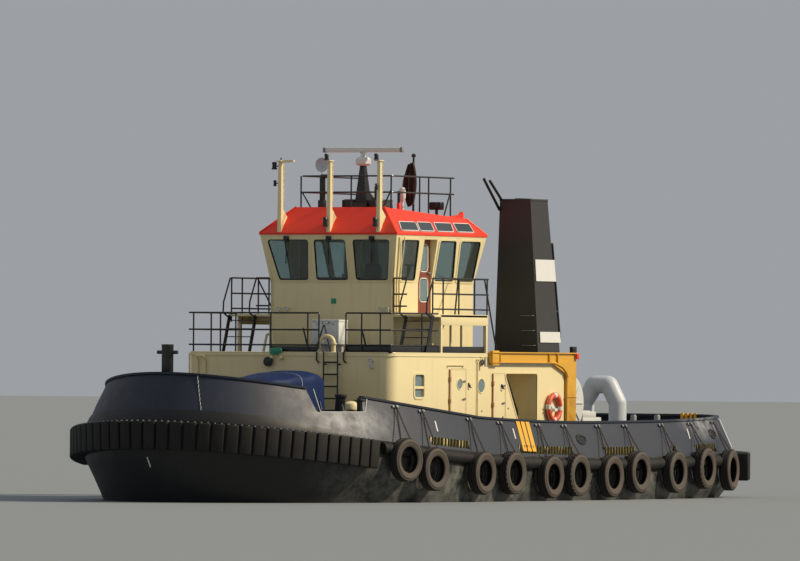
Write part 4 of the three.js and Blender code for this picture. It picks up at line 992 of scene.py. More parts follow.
def slab(shape, outline, low, high, axis="y"):
    """A flat plate of an outline, between two depths along one axis."""
    if axis == "y":
        lofted(shape, [[(a, depth, b) for a, b in outline] for depth in (low, high)])
    else:
        lofted(shape, [[(depth, a, b) for a, b in outline] for depth in (low, high)])


def bracket(shape):
    slab(shape, [(0.0, -0.02), (0.34, -0.02), (0.42, 0.78), (0.37, 0.8)], -0.006, 0.006, "x")


for side, sign in SIDES:
    foot_line = offset_line(lambda x: -12.3 < x < 10.8, -0.1, 0.0, sign)
    foot_line = foot_line if sign > 0 else foot_line[::-1]
    row(f"bulwark_brackets_{side}", [foot_line], shaped("bracket", bracket), BRACKET_SPACING, bulwark_paint,
        "bulwark_paint")

# Mooring chocks. Oval cast rings let into the bulwark for the ropes.
cast_steel = marine_paint("black cast steel", 0x1A1B1D, 0x26272A, 0.35, streak=0.4, grime=0x6A6258)
# Station and height above the deck edge
chocks = [(-1.67, 0.46), (-9.8, 0.5)]
for side, sign in SIDES:
    def all_chocks(shape):
        for x, rise in chocks:
            place = on_bulwark(x, rise, sign)
            loops = []
            for turn in turns(28):
                middle = Vector((0.23 * math.cos(turn), -0.02, 0.115 * math.sin(turn)))
                out = Vector((math.cos(turn), 0, math.sin(turn)))
                loops.append([place @ (middle + out * 0.042 * math.cos(t)
                                       + Vector((0, 0.05 * math.sin(t), 0))) for t in turns(10)])
            closed_ring(shape, loops)
    piece(f"mooring_chocks_{side}", all_chocks, cast_steel, "black_paint")

    # Painted shade: a flat black disc inside each chock ring stands for the dark throat of the hole
    def chock_shade_discs(shape):
        for x, rise in chocks:
            place = on_bulwark(x, rise, sign)
            lofted(shape, [[place @ Vector((0.21 * math.cos(t), depth, 0.1 * math.sin(t))) for t in turns(24)]
                           for depth in (0.006, -0.004)])
    piece(f"chock_throats_{side}", chock_shade_discs, groove_rubber, "black_paint")


# The deckhouse. One welded steel box with rounded forward corners and a sunken stair alcove on each
# side, painted cream, with small windows, portholes and steel doors.
HOUSE_OUT = 2.95
HOUSE_FORE = 6.1
DECK_TOP = 3.68


def paint_node(node, material):
    """Gives a CAD body that keeps its shape its real finish."""
    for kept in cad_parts[node] if isinstance(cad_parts[node], list) else [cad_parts[node]]:
        kept.material_slots[0].material = material


paint_node("deckhouse_walls", cream_paint)


def ring_tube(shape, place, path, radius, sides=8):
    """A closed round tube along local (across, out, up) points."""
    out = Vector((0, 1, 0))
    loops = []
    for i, point in enumerate(path):
        aside = (path[(i + 1) % len(path)] - path[i - 1]).normalized().cross(out).normalized()
        loops.append([place @ (point + (aside * math.cos(t) + out * math.sin(t)) * radius)
                      for t in turns(sides)])
    closed_ring(shape, loops)


def rounded(corners, radius, steps=4):
    """An outline in (across, up) with its corners rounded."""
    points = []
    count = len(corners)
    for i, corner in enumerate(corners):
        here = Vector(corner)
        before = (Vector(corners[i - 1]) - here).normalized()
        after = (Vector(corners[(i + 1) % count]) - here).normalized()
        half_turn = before.angle(after) / 2
        reach = radius / math.tan(half_turn)
        start, end = here + before * reach, here + after * reach
        for step in range(steps + 1):
            share = step / steps
            points.append(((start * (1 - share) + here * share) * (1 - share)
                           + (here * (1 - share) + end * share) * share))
    return points


def framed_plate(shape, place, outline, radius, width, low, high, steps=4):
    """A flat ring round an opening, between two depths on the local out axis."""
    inner = rounded(outline, radius, steps)
    middle = sum(inner, Vector((0, 0))) / len(inner)
    outer = []
    for i, point in enumerate(inner):
        tangent = (inner[(i + 1) % len(inner)] - inner[i - 1]).normalized()
        aside = Vector((tangent.y, -tangent.x))
        if aside.dot(point - middle) < 0:
            aside = -aside
        outer.append(point + aside * width)
    closed_ring(shape, [[place @ Vector((p.x, depth, p.y)) for p in line]
                        for line, depth in ((inner, low), (outer, low), (outer, high), (inner, high))])


def filled_plate(shape, place, outline, radius, low, high, steps=4):
    """A flat sheet with rounded corners, between two depths on the local out axis."""
    line = rounded(outline, radius, steps)
    lofted(shape, [[place @ Vector((p.x, depth, p.y)) for p in line] for depth in (low, high)])


def rectangle(x0, x1, z0, z1):
    return [(x0, z0), (x1, z0), (x1, z1), (x0, z1)]


def circle(x, z, radius, count=28):
    return [Vector((x + radius * math.cos(t), 0, z + radius * math.sin(t))) for t in turns(count)]


def laid(place, *points):
    """Local points of a place as points of the boat."""
    return [place @ Vector(point) for point in points]


def wall_place(sign, out=HOUSE_OUT):
    """The house side as a flat place: across is aft to forward, out is outboard, up is up."""
    return Matrix(((1, 0, 0), (0, sign, 0), (0, 0, 1))).to_4x4() @ Matrix.Translation((0, out, 0))


# The wheelhouse has lightly tinted toughened glass; the small house windows have dark glass
window_glass, tree = new_material("tinted toughened glass")
pane = put(tree, "ShaderNodeBsdfPrincipled", {
    "Base Color": linear(0xB8CCCA), "Roughness": 0.03, "IOR": 1.5, "Transmission Weight": 0.95,
    "Specular IOR Level": 0.9})
put(tree, "ShaderNodeOutputMaterial", {"Surface": pane.outputs[0]})
dark_glass, tree, haze, tint = mottled("dark cabin glass", 1.6, 2.0, 0x4E6368, 0x8A9C9E)
pane = put(tree, "ShaderNodeBsdfPrincipled", {"Base Color": tint, "Roughness": 0.06,
                                              "Specular IOR Level": 0.7})
put(tree, "ShaderNodeOutputMaterial", {"Surface": pane.outputs[0]})
seal_rubber = worn_rubber("black window seal", 0x16181A, 0x2A2C2C, 0.2)

house_windows = [(4.43, 4.89, 2.87, 3.15), (4.43, 4.89, 2.6, 2.8)]
# Portholes in the side: station, height, radius
portholes = [(1.44, 2.89, 0.17)]
for side, sign in SIDES:
    wall = wall_place(sign)

    def window_frames(shape):
        framed_plate(shape, wall, rectangle(4.42, 4.9, 2.59, 3.16), 0.09, 0.05, -0.01, 0.018, 6)
        block_in(shape, wall, (4.43, -0.05, 2.8), (4.89, 0.008, 2.87))
        for x, z, radius in portholes:
            ring_tube(shape, wall, circle(x, z, radius + 0.015), 0.018)

    piece(f"house_window_frames_{side}", window_frames, cream_paint, "cream_paint")

    def window_panes(shape):
        for x0, x1, z0, z1 in house_windows:
            filled_plate(shape, wall, rectangle(x0 + 0.002, x1 - 0.002, z0 + 0.002, z1 - 0.002), 0.03,
                         -0.05, -0.04)
        for x, z, radius in portholes:
            filled_plate(shape, wall, [(p.x, p.z) for p in circle(x, z, radius, 20)], 0.01, 0.002, 0.006, 1)
    piece(f"house_window_panes_{side}", window_panes, dark_glass, "window_glass")

# Alcove linings. The stair recess is trimmed with a lighter welded edge and a black handrail inside.
ALCOVE = [(0.18, 3.2), (-1.53, 3.2), (-1.53, 1.2), (-1.02, 1.2)]
black_enamel = marine_paint("black rail enamel", 0x131415, 0x1E1F21, 0.34, streak=0.25, ripple=0.0,
                            grime=0x3A3028, coat=0.2)

# A tube tree draws round pipe along lines, with its bends eased
tube_tree, tube_in, close_tube = new_tree("bent tube", [
    ("Lines", "Geometry"), ("Radius", "Float"), ("Bend", "Float"), ("Sides", "Int"), ("Finish", "Material")])
tube_curve = put(tube_tree, "GeometryNodeMeshToCurve", {"Mesh": tube_in["Lines"]})
tube_eased = put(tube_tree, "GeometryNodeFilletCurve", {
    "Curve": tube_curve.outputs[0], "Radius": tube_in["Bend"], "Limit Radius": True, "Count": 4}, mode="POLY")
tube_round = put(tube_tree, "GeometryNodeCurvePrimitiveCircle", {"Radius": tube_in["Radius"],
                                                                 "Resolution": tube_in["Sides"]})
tube_skin = put(tube_tree, "GeometryNodeCurveToMesh", {
    "Curve": tube_eased.outputs[0], "Profile Curve": tube_round.outputs[0], "Fill Caps": True})
close_tube(tube_skin.outputs[0])


def tubes(name, lines, radius, material, slot, body="boat", bend=0.06, sides=8):
    """A piece made of round pipes along drawn lines."""
    mesh = grown(tube_tree, lines, {"Radius": radius, "Bend": bend, "Sides": sides, "Finish": material})
    return finished(name, mesh, material, slot, body)


for side, sign in SIDES:
    wall = wall_place(sign)

    def alcove_edge(shape):
        framed_plate(shape, wall, ALCOVE, 0.07, 0.035, -0.012, 0.012, 5)
    piece(f"alcove_edge_{side}", alcove_edge, cream_paint, "cream_paint")
    rail = laid(wall, (-0.12, -0.2, 3.12), (-0.17, -0.12, 3.05), (-0.7, -0.12, 2.26), (-0.74, -0.12, 2.14),
                (-0.62, -0.16, 2.06))
    tubes(f"alcove_handrail_{side}", [rail], 0.028, black_enamel, "black_paint")

# House fittings. Rust-stained hinge posts, door hooks, a drip bar, a pipe to a valve and small bolts
# are welded to the side.
rusty_steel = marine_paint("rust-brown primed steel", 0xA07444, 0x84582E, 0.6, streak=0.5, grime=0x3E2414)
for side, sign in SIDES:
    wall = wall_place(sign)

    def hinge_posts(shape):
        for x, low, high in ((3.1, 1.72, 3.3), (0.84, 1.62, 3.2)):
            block_in(shape, wall, (x - 0.03, -0.005, low), (x + 0.03, 0.03, high), 0.008)
            for z in (low + 0.25, (low + high) / 2, high - 0.25):
                block_in(shape, wall, (x - 0.036, 0.0, z - 0.06), (x + 0.045, 0.045, z + 0.06), 0.01)
    piece(f"door_hinge_posts_{side}", hinge_posts, rusty_steel, "maroon_paint")
    drip = laid(wall, (2.42, 0.0, 3.33), (2.42, 0.03, 3.4), (3.22, 0.03, 3.4), (3.22, 0.0, 3.33))
    tubes(f"drip_bar_{side}", [drip], 0.014, cream_paint, "cream_paint", bend=0.02)
    pipes = [laid(wall, (1.67, 0.03, 1.55), (1.67, 0.03, 3.48), (1.79, 0.03, 3.56), (1.53, 0.03, 3.56)),
             laid(wall, (1.47, 0.03, 3.62), (1.41, 0.05, 3.5), (1.49, 0.05, 3.38))]
    tubes(f"side_pipe_{side}", pipes, 0.017, cream_paint, "cream_paint")

    def valve(shape):
        place = wall @ Matrix.Translation((1.46, 0.03, 3.48))
        lathe(shape, [(CORE, 0.0), (0.07, 0.0), (0.075, 0.03), (0.05, 0.05), (0.03, 0.1), (CORE, 0.1)],
              place, 14)
        block_in(shape, place, (-0.03, 0.08, -0.11), (0.03, 0.11, 0.11), 0.01)
        for x, z in ((2.02, 2.9), (-1.86, 2.3), (-1.86, 2.2), (2.36, 2.0), (0.28, 2.1), (0.0, 2.32),
                     (3.9, 2.15), (1.4, 2.25)):
            lathe(shape, [(CORE, 0.0), (0.022, 0.0), (0.02, 0.018), (CORE, 0.02)],
                  wall @ Matrix.Translation((x, 0.0, z)), 8)
    piece(f"side_valve_{side}", valve, worn_steel, "grey_paint")

    def hooks(shape):
        for x, z in ((2.1, 2.93), (0.35, 2.9)):
            place = wall @ Matrix.Translation((x, 0.0, z))
            block_in(shape, place, (-0.03, 0.0, -0.03), (0.03, 0.02, 0.03), 0.005)
            block_in(shape, place, (-0.012, 0.01, -0.09), (0.012, 0.06, -0.02), 0.005)
            block_in(shape, place, (-0.07, 0.045, -0.1), (0.012, 0.065, -0.075), 0.005)
    piece(f"door_hooks_{side}", hooks, black_enamel, "black_paint")

# The deckhouse doors. Flat steel leaves, each with a round port in its upper half and lever handles.
# Door, station range, sill, head, and its porthole's height and radius
house_doors = [("forward", 2.218, 3.002, 1.708, 3.302, 2.93, 0.13), ("aft", 0.138, 0.782, 1.608, 3.192, 0, 0)]
for side, sign in SIDES:
    wall = wall_place(sign, HOUSE_OUT - 0.005)
    for part, aft_edge, fore_edge, sill, head, port_z, port_radius in house_doors:
        node = f"deckhouse_door_{side}_{part}"
        paint_node(node, cream_paint)
        port_x = aft_edge + 0.33

        def leaf_trim(shape):
            framed_plate(shape, wall, rectangle(aft_edge + 0.03, fore_edge - 0.03, sill + 0.03, head - 0.03),
                         0.06, 0.012, -0.002, 0.004, 4)
            if port_radius:
                ring_tube(shape, wall, circle(port_x, port_z, port_radius + 0.01), 0.016)
        piece(f"{node}_trim", leaf_trim, cream_paint, "cream_paint", node)

        def levers(shape):
            for z in (sill + 0.35, sill + 0.85, head - 0.3):
                lathe(shape, [(CORE, 0.0), (0.03, 0.0), (0.026, 0.03), (CORE, 0.034)],
                      wall @ Matrix.Translation((aft_edge + 0.07, 0.0, z)), 10)
                block_in(shape, wall, (aft_edge + 0.055, 0.025, z - 0.015),
                         (aft_edge + 0.2, 0.045, z + 0.015), 0.005)
        piece(f"{node}_levers", levers, worn_steel, "grey_paint", node)
        if port_radius:
            def port_pane(shape):
                outline = [(p.x, p.z) for p in circle(port_x, port_z, port_radius, 20)]
                filled_plate(shape, wall, outline, 0.01, 0.0005, 0.004, 1)
            piece(f"{node}_pane", port_pane, dark_glass, "window_glass", node)

# The bridge deck. The plate over the house, edged with a small lip and coated with grey deck paint on
# top. Its edge is cream like the house.


PLAN_FORE, PLAN_AFT = 6.12, -3.02
PLAN_OUT = 2.97
PLAN_CORNER = 0.35


def eased_house(inset=0.0):
    """The plan of the bridge deck: square aft, rounded forward."""
    points = []
    radius = PLAN_CORNER - inset
    for sign, first in ((-1.0, -math.pi / 2), (1.0, 0.0)):
        for t in [first + math.pi / 2 * i / 12 for i in range(13)]:
            points.append((PLAN_FORE - PLAN_CORNER + radius * math.cos(t),
                           sign * (PLAN_OUT - PLAN_CORNER) + radius * math.sin(t)))
    return points + [(PLAN_AFT + inset, PLAN_OUT - inset), (PLAN_AFT + inset, inset - PLAN_OUT)]


plan = eased_house()
corners = [(x, y, z) for z in (3.61, DECK_TOP) for x, y in plan]
count = len(plan)
faces = [tuple(range(count)), tuple(range(count, 2 * count))]
faces += [(i, (i + 1) % count, count + (i + 1) % count, count + i) for i in range(count)]
deck_plate = drawn("bridge_deck_plate", corners, faces, [cream_paint, deck_grey], "cream_paint",
                   marks=[0, 1] + [0] * count)
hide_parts("bridge_deck")
tubes("bridge_deck_lip", [[(x, y, 3.69) for x, y in eased_house(0.03)]], 0.018, cream_paint,
      "cream_paint", bend=0.0)

# The wheelhouse. Steel walls that stand upright to the sill and lean out above it, so the windows
# shed rain and glare. The paint is the same cream.
paint_node("wheelhouse_walls", cream_paint)
SILL = 5.45
BROW = 6.66


def lean_place(low, high, wall):
    """A leaning wall as a flat place. The wall passes through low at the sill and high at the brow."""
    length = math.hypot(BROW - SILL, high - low)
    climb, lean = (BROW - SILL) / length, (high - low) / length
    across, out, up, origin = {
        "front": ((0, 1, 0), (climb, 0, -lean), (lean, 0, climb), (low, 0, SILL)),
        "aft": ((0, 1, 0), (-climb, 0, lean), (lean, 0, climb), (low, 0, SILL)),
        "port": ((1, 0, 0), (0, climb, -lean), (0, lean, climb), (0, low, SILL)),
        "starboard": ((1, 0, 0), (0, -climb, -lean), (0, -lean, climb), (0, -low, SILL))}[wall]
    place = Matrix((across, out, up)).transposed().to_4x4()
    place.translation = origin
    return place, 1 / climb


# Each face's windows: two corners low and two high along the wall
WINDOW_LOW = 5.52
WINDOW_HIGH = 6.54
front_windows = [(-1.51, -0.67, -1.78, -0.58), (-0.44, 0.48, -0.43, 0.48), (0.7, 1.62, 0.69, 1.76)]
side_windows = [(2.83, 3.54, 2.9, 3.83), (0.82, 1.84, 0.96, 1.8), (-0.22, 0.66, -0.33, 0.72)]
aft_windows = [(-1.5, -0.3, -1.6, -0.3), (0.3, 1.5, 0.3, 1.6)]
wheelhouse_faces = [("front", lean_place(3.88, 4.1, "front"), front_windows),
                    ("aft", lean_place(-0.27, -0.6, "aft"), aft_windows),
                    ("port", lean_place(1.77, 1.97, "port"), side_windows),
                    ("starboard", lean_place(1.77, 1.97, "starboard"), side_windows)]
window_outlines = {}
for face, (place, stretch), windows in wheelhouse_faces:
    window_outlines[face] = [
        [(low_a, (WINDOW_LOW - SILL) * stretch), (low_b, (WINDOW_LOW - SILL) * stretch),
         (high_b, (WINDOW_HIGH - SILL) * stretch), (high_a, (WINDOW_HIGH - SILL) * stretch)]
        for low_a, low_b, high_a, high_b in windows]

    def seals(shape):
        for outline in window_outlines[face]:
            framed_plate(shape, place, outline, 0.09, 0.045, -0.004, 0.016, 5)
    piece(f"window_seals_{face}", seals, cream_paint, "cream_paint")

    def gaskets(shape):
        for outline in window_outlines[face]:
            corners = [Vector(p) for p in outline]
            middle = sum(corners, Vector((0, 0))) / 4
            shrunk = [p + (middle - p).normalized() * 0.028 for p in corners]
            framed_plate(shape, place, shrunk, 0.08, 0.022, -0.034, 0.006, 5)
    piece(f"window_gaskets_{face}", gaskets, seal_rubber, "black_paint")

# Each pane lies just inside its gasket, nearly flush with the wall
panes_of = {"front": ("front", [0, 1, 2]), "aft": ("aft", [0, 1]), "port_forward": ("port", [0]),
            "port_aft": ("port", [1, 2]), "starboard_forward": ("starboard", [0]),
            "starboard_aft": ("starboard", [1, 2])}
wall_places = {face: place for face, (place, stretch), windows in wheelhouse_faces}
for node, (face, picked) in panes_of.items():
    def glass_panes(shape):
        for which in picked:
            filled_plate(shape, wall_places[face], window_outlines[face][which], 0.09, -0.028, -0.018, 5)
    panes = piece(f"wheelhouse_panes_{node}", glass_panes, window_glass, "window_glass")
    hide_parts(f"wheelhouse_glass_{node}")

# Wipers hang from short motors above the front windows
front_place, front_stretch = wheelhouse_faces[0][1]


def wipers(shape):
    for y, swing in ((-1.2, 0.12), (0.02, 0.1), (1.26, 0.1)):
        swung = (front_place @ Matrix.Translation((y, 0.0, 1.13 * front_stretch))
                 @ Matrix.Rotation(swing, 4, "Y"))
        block_in(shape, swung, (-0.07, 0.0, -0.06), (0.07, 0.07, 0.05), 0.012)
        block_in(shape, swung, (-0.02, 0.03, -0.12), (0.02, 0.055, 0.0), 0.005)
        block_in(shape, swung, (-0.006, 0.035, -0.5), (0.006, 0.045, -0.08), 0.002)
        block_in(shape, swung, (-0.008, 0.012, -0.66), (0.008, 0.036, -0.3), 0.003)


piece("window_wipers", wipers, black_enamel, "black_paint")

# Wheelhouse fittings. A green blank plate, floodlights on brackets and corner conduits on the front;
# a drip rail runs round under the brow.
green_enamel = marine_paint("green enamel plate", 0x1F8A6A, 0x2A9474, 0.35, streak=0.1, ripple=0.0,
                            grime=0xDDE6E0)


def sign_plate(shape):
    block(shape, (3.88, -0.02, 4.93), (3.895, 0.12, 5.06), 0.003)


piece("green_plate", sign_plate, green_enamel, "grey_paint")
tubes("corner_conduits", [
    [(3.9, 1.72, 4.75), (3.9, 1.72, SILL), (4.06, 1.89, 6.6)],
    [(3.9, -1.72, 4.75), (3.9, -1.72, SILL), (4.06, -1.89, 6.6)],
    [(3.75, 1.79, 3.7), (3.75, 1.79, SILL), (3.95, 1.98, 6.6)],
    [(3.62, 1.79, 4.68), (3.62, 1.79, SILL), (3.7, 1.98, 6.6)],
    [(-0.29, 1.6, 3.7), (-0.29, 1.6, SILL), (-0.62, 1.75, 6.6)]], 0.016, cream_paint, "cream_paint",
      bend=0.03, sides=6)


def floodlight(shape, x, y, z, heading, size=0.09):
    """A round-backed floodlight with a hooded rim on a bracket."""
    place = Matrix.Translation((x, y, z)) @ Matrix.Rotation(heading, 4, "Z")
    lathe(shape, [(CORE, -size), (size * 0.55, -size * 0.9), (size * 0.95, 0.0), (size * 1.05, 0.02),
                  (size * 1.05, 0.06), (size * 0.95, 0.06), (size * 0.9, 0.03), (CORE, 0.03)], place, 16)
    block_in(shape, place, (-0.015, -0.03, -size * 2.0), (0.015, 0.0, -size * 0.5), 0.003)


def front_floods(shape):
    for y in (1.65, 1.45, -1.25, -1.47):
        floodlight(shape, 3.96, y, 4.8, -math.pi / 2, 0.045)


piece("front_floodlights", front_floods, white_paint, "white_paint")

# The wheelhouse doors. Varnished red-brown leaves that stand upright in a recess, each with two
# oblong lights in white rims; the rims and panes swing with the leaf.
door_varnish = marine_paint("red-brown door enamel", 0x8A4630, 0x743826, 0.35, streak=0.25, ripple=0.001,
                            grime=0x4A2416, coat=0.3)
door_lights = [(2.06, 2.5, 5.74, 6.45), (2.06, 2.5, 4.98, 5.6)]
for side, sign in SIDES:
    node = f"wheelhouse_door_{side}"
    paint_node(node, door_varnish)
    leaf = wall_place(sign, 1.745)

    def light_rims(shape):
        for x0, x1, z0, z1 in door_lights:
            framed_plate(shape, leaf, rectangle(x0 + 0.045, x1 - 0.045, z0 + 0.045, z1 - 0.045), 0.1, 0.045,
                         -0.01, 0.004, 6)
    piece(f"{node}_rims", light_rims, white_paint, "white_paint", node)

    def light_panes(shape):
        for x0, x1, z0, z1 in door_lights:
            filled_plate(shape, leaf, rectangle(x0 + 0.03, x1 - 0.03, z0 + 0.03, z1 - 0.03), 0.1, 0.0005,
                         0.004, 6)
    piece(f"{node}_panes", light_panes, dark_glass, "window_glass", node)

    def latch(shape):
        lathe(shape, [(CORE, 0.0), (0.035, 0.0), (0.03, 0.03), (CORE, 0.034)],
              leaf @ Matrix.Translation((2.02, 0.0, 5.72)), 12)
        block_in(shape, leaf, (2.0, 0.03, 5.7), (2.12, 0.05, 5.735), 0.006)
    piece(f"{node}_latch", latch, worn_steel, "grey_paint", node)

# The roof. A low hipped cap of red plate with welded ridges, four small skylights with dark glass on
# each side slope, and small red upstands that carry the aerials.
roof_red = marine_paint("orange-red roof enamel", 0xF83A1E, 0xEE3218, 0.5, streak=0.1, ripple=0.003,
                        grime=0xC03A22)
paint_node("wheelhouse_roof", roof_red)
# The side slope is folded once, from its forward foot corner to its after head corner
FOOT_AFT, FOOT_FORE = (-0.62, 1.99, 6.7), (4.12, 1.99, 6.7)
HEAD_AFT, HEAD_FORE = (-0.17, 1.6, 7.12), (3.5, 1.27, 7.36)
# Each skylight: aft and forward station at its foot, then at its head
SKYLIGHTS = [(2.93, 3.8, 2.71, 3.52), (2.16, 2.86, 1.93, 2.62), (1.12, 1.94, 0.92, 1.78),
             (0.05, 0.88, -0.04, 0.77)]
SKYLIGHT_FOOT = 6.765
SKYLIGHT_HEAD = 6.97
smoked_glass = marine_paint("smoked skylight glass", 0x2E3A40, 0x3C484E, 0.3, streak=0.1, ripple=0.0,
                            grime=0x5A6468)


def slope_place(sign, x, z):
    """A flat place on the side slope: across runs forward, out is square to the plate, up climbs it."""
    above_fold = z > 6.7 + 0.42 * (4.12 - x) / 4.29
    climb = 1.1073 if above_fold else 0.9286
    breadth = 9.481 - 0.0175 * x - 1.1073 * z if above_fold else 1.99 - 0.9286 * (z - 6.7)
    across = Vector((1, 0, 0))
    up = Vector((0, -sign * climb, 1)).normalized()
    out = Vector((0, sign, climb)).normalized()
    place = Matrix((across, out, up)).transposed().to_4x4()
    place.translation = Vector((0, sign * breadth, z))
    return place, up.z


for side, sign in SIDES:
    skylights = []
    for low_a, low_b, high_a, high_b in SKYLIGHTS:
        place, lift = slope_place(sign, (low_a + low_b) / 2, (SKYLIGHT_FOOT + SKYLIGHT_HEAD) / 2)
        tall = (SKYLIGHT_HEAD - SKYLIGHT_FOOT) / 2 / lift
        skylights.append((place, [(low_a, -tall), (low_b, -tall), (high_b, tall), (high_a, tall)]))

    def skylight_rims(shape):
        for place, outline in skylights:
            framed_plate(shape, place, outline, 0.035, 0.022, -0.05, 0.03, 3)
    piece(f"skylight_rims_{side}", skylight_rims, white_paint, "white_paint")

    def skylight_panes(shape):
        for place, outline in skylights:
            filled_plate(shape, place, outline, 0.035, -0.04, 0.022, 3)
    piece(f"skylight_panes_{side}", skylight_panes, smoked_glass, "window_glass")

ridge_lines = []
for sign in (1.0, -1.0):
    for foot, head in ((FOOT_FORE, HEAD_FORE), (FOOT_AFT, HEAD_AFT)):
        ridge_lines.append([(foot[0], sign * (foot[1] - 0.01), foot[2] + 0.01),
                            (head[0], sign * head[1], head[2] + 0.01)])
ridge_lines.append([(4.11, 1.97, 6.69), (4.11, -1.97, 6.69), (-0.61, -1.97, 6.69), (-0.61, 1.97, 6.69),
                    (4.11, 1.97, 6.69)])
tubes("roof_ridges", ridge_lines, 0.022, roof_red, "red_paint", bend=0.0, sides=6)


def roof_upstands(shape):
    """The short post forward and the boxed upstand aft, welded to the roof."""
    block(shape, (2.58, 1.16, 7.25), (2.66, 1.24, 7.48), 0.008)
    block(shape, (2.46, 1.1, 7.25), (2.78, 1.3, 7.31), 0.008)
    for y0 in (1.46, -1.52):
        slab(shape, [(0.9, 7.13), (-0.2, 7.06), (-0.2, 7.28), (-0.12, 7.3), (0.0, 7.22)], y0, y0 + 0.06)


piece("roof_upstands", roof_upstands, roof_red, "red_paint")

# Roof posts. Three slim tapered steel posts stand on the front slope of the roof, each on a fin, with
# rungs up its back, and carry round lamps on short brackets.


def tapered(shape, x, y, levels):
    """A square post about an upright line; each level is its height, half depth and half breadth."""
    lofted(shape, [[(x + dx * deep, y + dy * wide, z) for dx, dy in ((-1, -1), (1, -1), (1, 1), (-1, 1))]
                   for z, deep, wide in levels])


def round_lamp(shape, x, y, low, high, radius=0.065):
    """An upright lamp with a ribbed lens between a base and a cap."""
    tall = high - low
    lathe(shape, [(CORE, 0.0), (radius, 0.0), (radius, tall * 0.2), (radius * 0.8, tall * 0.24),
                  (radius * 0.84, tall * 0.36), (radius * 0.78, tall * 0.48), (radius * 0.84, tall * 0.6),
                  (radius * 0.8, tall * 0.72), (radius, tall * 0.76), (radius * 0.7, tall), (CORE, tall)],
          upright(x, y, low), 14)


POST_X = 4.04
for side, post_y in (("port", 1.43), ("centre", 0.0), ("starboard", -1.42)):
    def one_post(shape):
        tapered(shape, POST_X, post_y, [(6.72, 0.06, 0.055), (8.52, 0.0425, 0.0425)])
        fin = [(-0.42, 6.99), (-0.04, 7.34), (-0.02, 7.52), (0.06, 7.5), (0.08, 6.72)]
        slab(shape, [(POST_X + dx, z) for dx, z in fin], post_y - 0.035, post_y + 0.035)
        block(shape, (POST_X - 0.1, post_y - 0.08, 8.5), (POST_X + 0.14, post_y + 0.08, 8.525), 0.006)
    post = piece(f"roof_post_{side}", one_post, cream_paint, "cream_paint")
    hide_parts(f"light_post_{side}")
    behind = POST_X - 0.15
    rungs = [[(POST_X - 0.04, post_y, 7.6 + 0.16 * i), (behind, post_y, 7.6 + 0.16 * i),
              (behind, post_y, 7.64 + 0.16 * i)] for i in range(6)]
    rungs.append([(behind, post_y, 7.5), (behind, post_y, 8.46)])
    tubes(f"roof_post_rungs_{side}", rungs, 0.012, cream_paint, "cream_paint", bend=0.01, sides=6)

    def lamps(shape):
        if side != "starboard":
            round_lamp(shape, POST_X + 0.13, post_y - 0.02, 8.53, 8.69)
            round_lamp(shape, POST_X + 0.15, post_y - 0.04, 6.86, 7.1)
        if side == "port":
            round_lamp(shape, POST_X + 0.12, post_y - 0.02, 7.78, 7.94, 0.04)
        if side == "starboard":
            round_lamp(shape, POST_X + 0.02, post_y - 0.17, 8.3, 8.49, 0.07)
            round_lamp(shape, POST_X + 0.02, post_y - 0.15, 7.88, 8.03, 0.045)
            block(shape, (POST_X, post_y - 0.17, 8.37), (POST_X + 0.03, post_y, 8.4), 0.005)
            block(shape, (POST_X, post_y - 0.15, 7.94), (POST_X + 0.03, post_y, 7.97), 0.005)
            block(shape, (POST_X - 0.02, post_y, 8.52), (POST_X + 0.02, post_y + 0.02, 8.6), 0.005)
    piece(f"roof_post_lamps_{side}", lamps, cast_steel, "black_paint")


def starboard_arm(shape):
    """The short arm at the top of the starboard post."""
    slab(shape, [(-1.41, 8.46), (-1.41, 8.535), (-1.03, 8.535), (-1.03, 8.49)], POST_X - 0.03,
         POST_X + 0.05, "x")


piece("roof_post_arm", starboard_arm, cream_paint, "cream_paint")

# The radar. A tapered black mast with shoulder boxes carries a white eight-sided gearbox, and the
# scanner bar turns on top of it.
RADAR_X = 2.32


def mast(shape):
    tapered(shape, RADAR_X, 0.0, [(7.29, 0.22, 0.22), (7.5, 0.2, 0.2), (7.52, 0.15, 0.15),
                                  (8.44, 0.06, 0.06)])
    block(shape, (RADAR_X - 0.1, -0.5, 7.28), (RADAR_X + 0.2, -0.16, 7.56), 0.01)
    block(shape, (RADAR_X - 0.1, 0.18, 7.28), (RADAR_X + 0.12, 0.42, 7.56), 0.01)
    block(shape, (RADAR_X - 0.06, 0.34, 7.54), (RADAR_X + 0.03, 0.42, 7.9), 0.01)
    block(shape, (2.59, 1.17, 7.46), (2.65, 1.23, 7.78), 0.008)


radar_stand = piece("radar_stand", mast, black_enamel, "black_paint")
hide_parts("radar_mast")


def gearbox(shape):
    lathe(shape, [(CORE, 0.0), (0.14, 0.0), (0.2, 0.05), (0.2, 0.16), (0.15, 0.215), (CORE, 0.22)],
          upright(RADAR_X, 0.0, 8.425), 8)


piece("radar_gearbox", gearbox, white_paint, "white_paint")


def scanner_bar(shape):
    block(shape, (RADAR_X - 0.055, -1.08, 8.765), (RADAR_X + 0.055, 1.08, 8.888), 0.022, 3)
    lathe(shape, [(CORE, 0.0), (0.07, 0.0), (0.065, 0.08), (0.1, 0.12), (CORE, 0.122)],
          upright(RADAR_X, 0.0, 8.646), 20)
    for i in range(6):
        y = -0.9 + 0.36 * i
        block(shape, (RADAR_X - 0.058, y - 0.008, 8.763), (RADAR_X + 0.058, y + 0.008, 8.89), 0.003)


scanner = piece("radar_bar", scanner_bar, white_paint, "white_paint", "radar_scanner")
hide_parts("radar_scanner")


def scanner_ends(shape):
    for low, high in ((-1.15, -1.08), (1.08, 1.15)):
        block(shape, (RADAR_X - 0.06, low, 8.76), (RADAR_X + 0.06, high, 8.89), 0.014, 2)


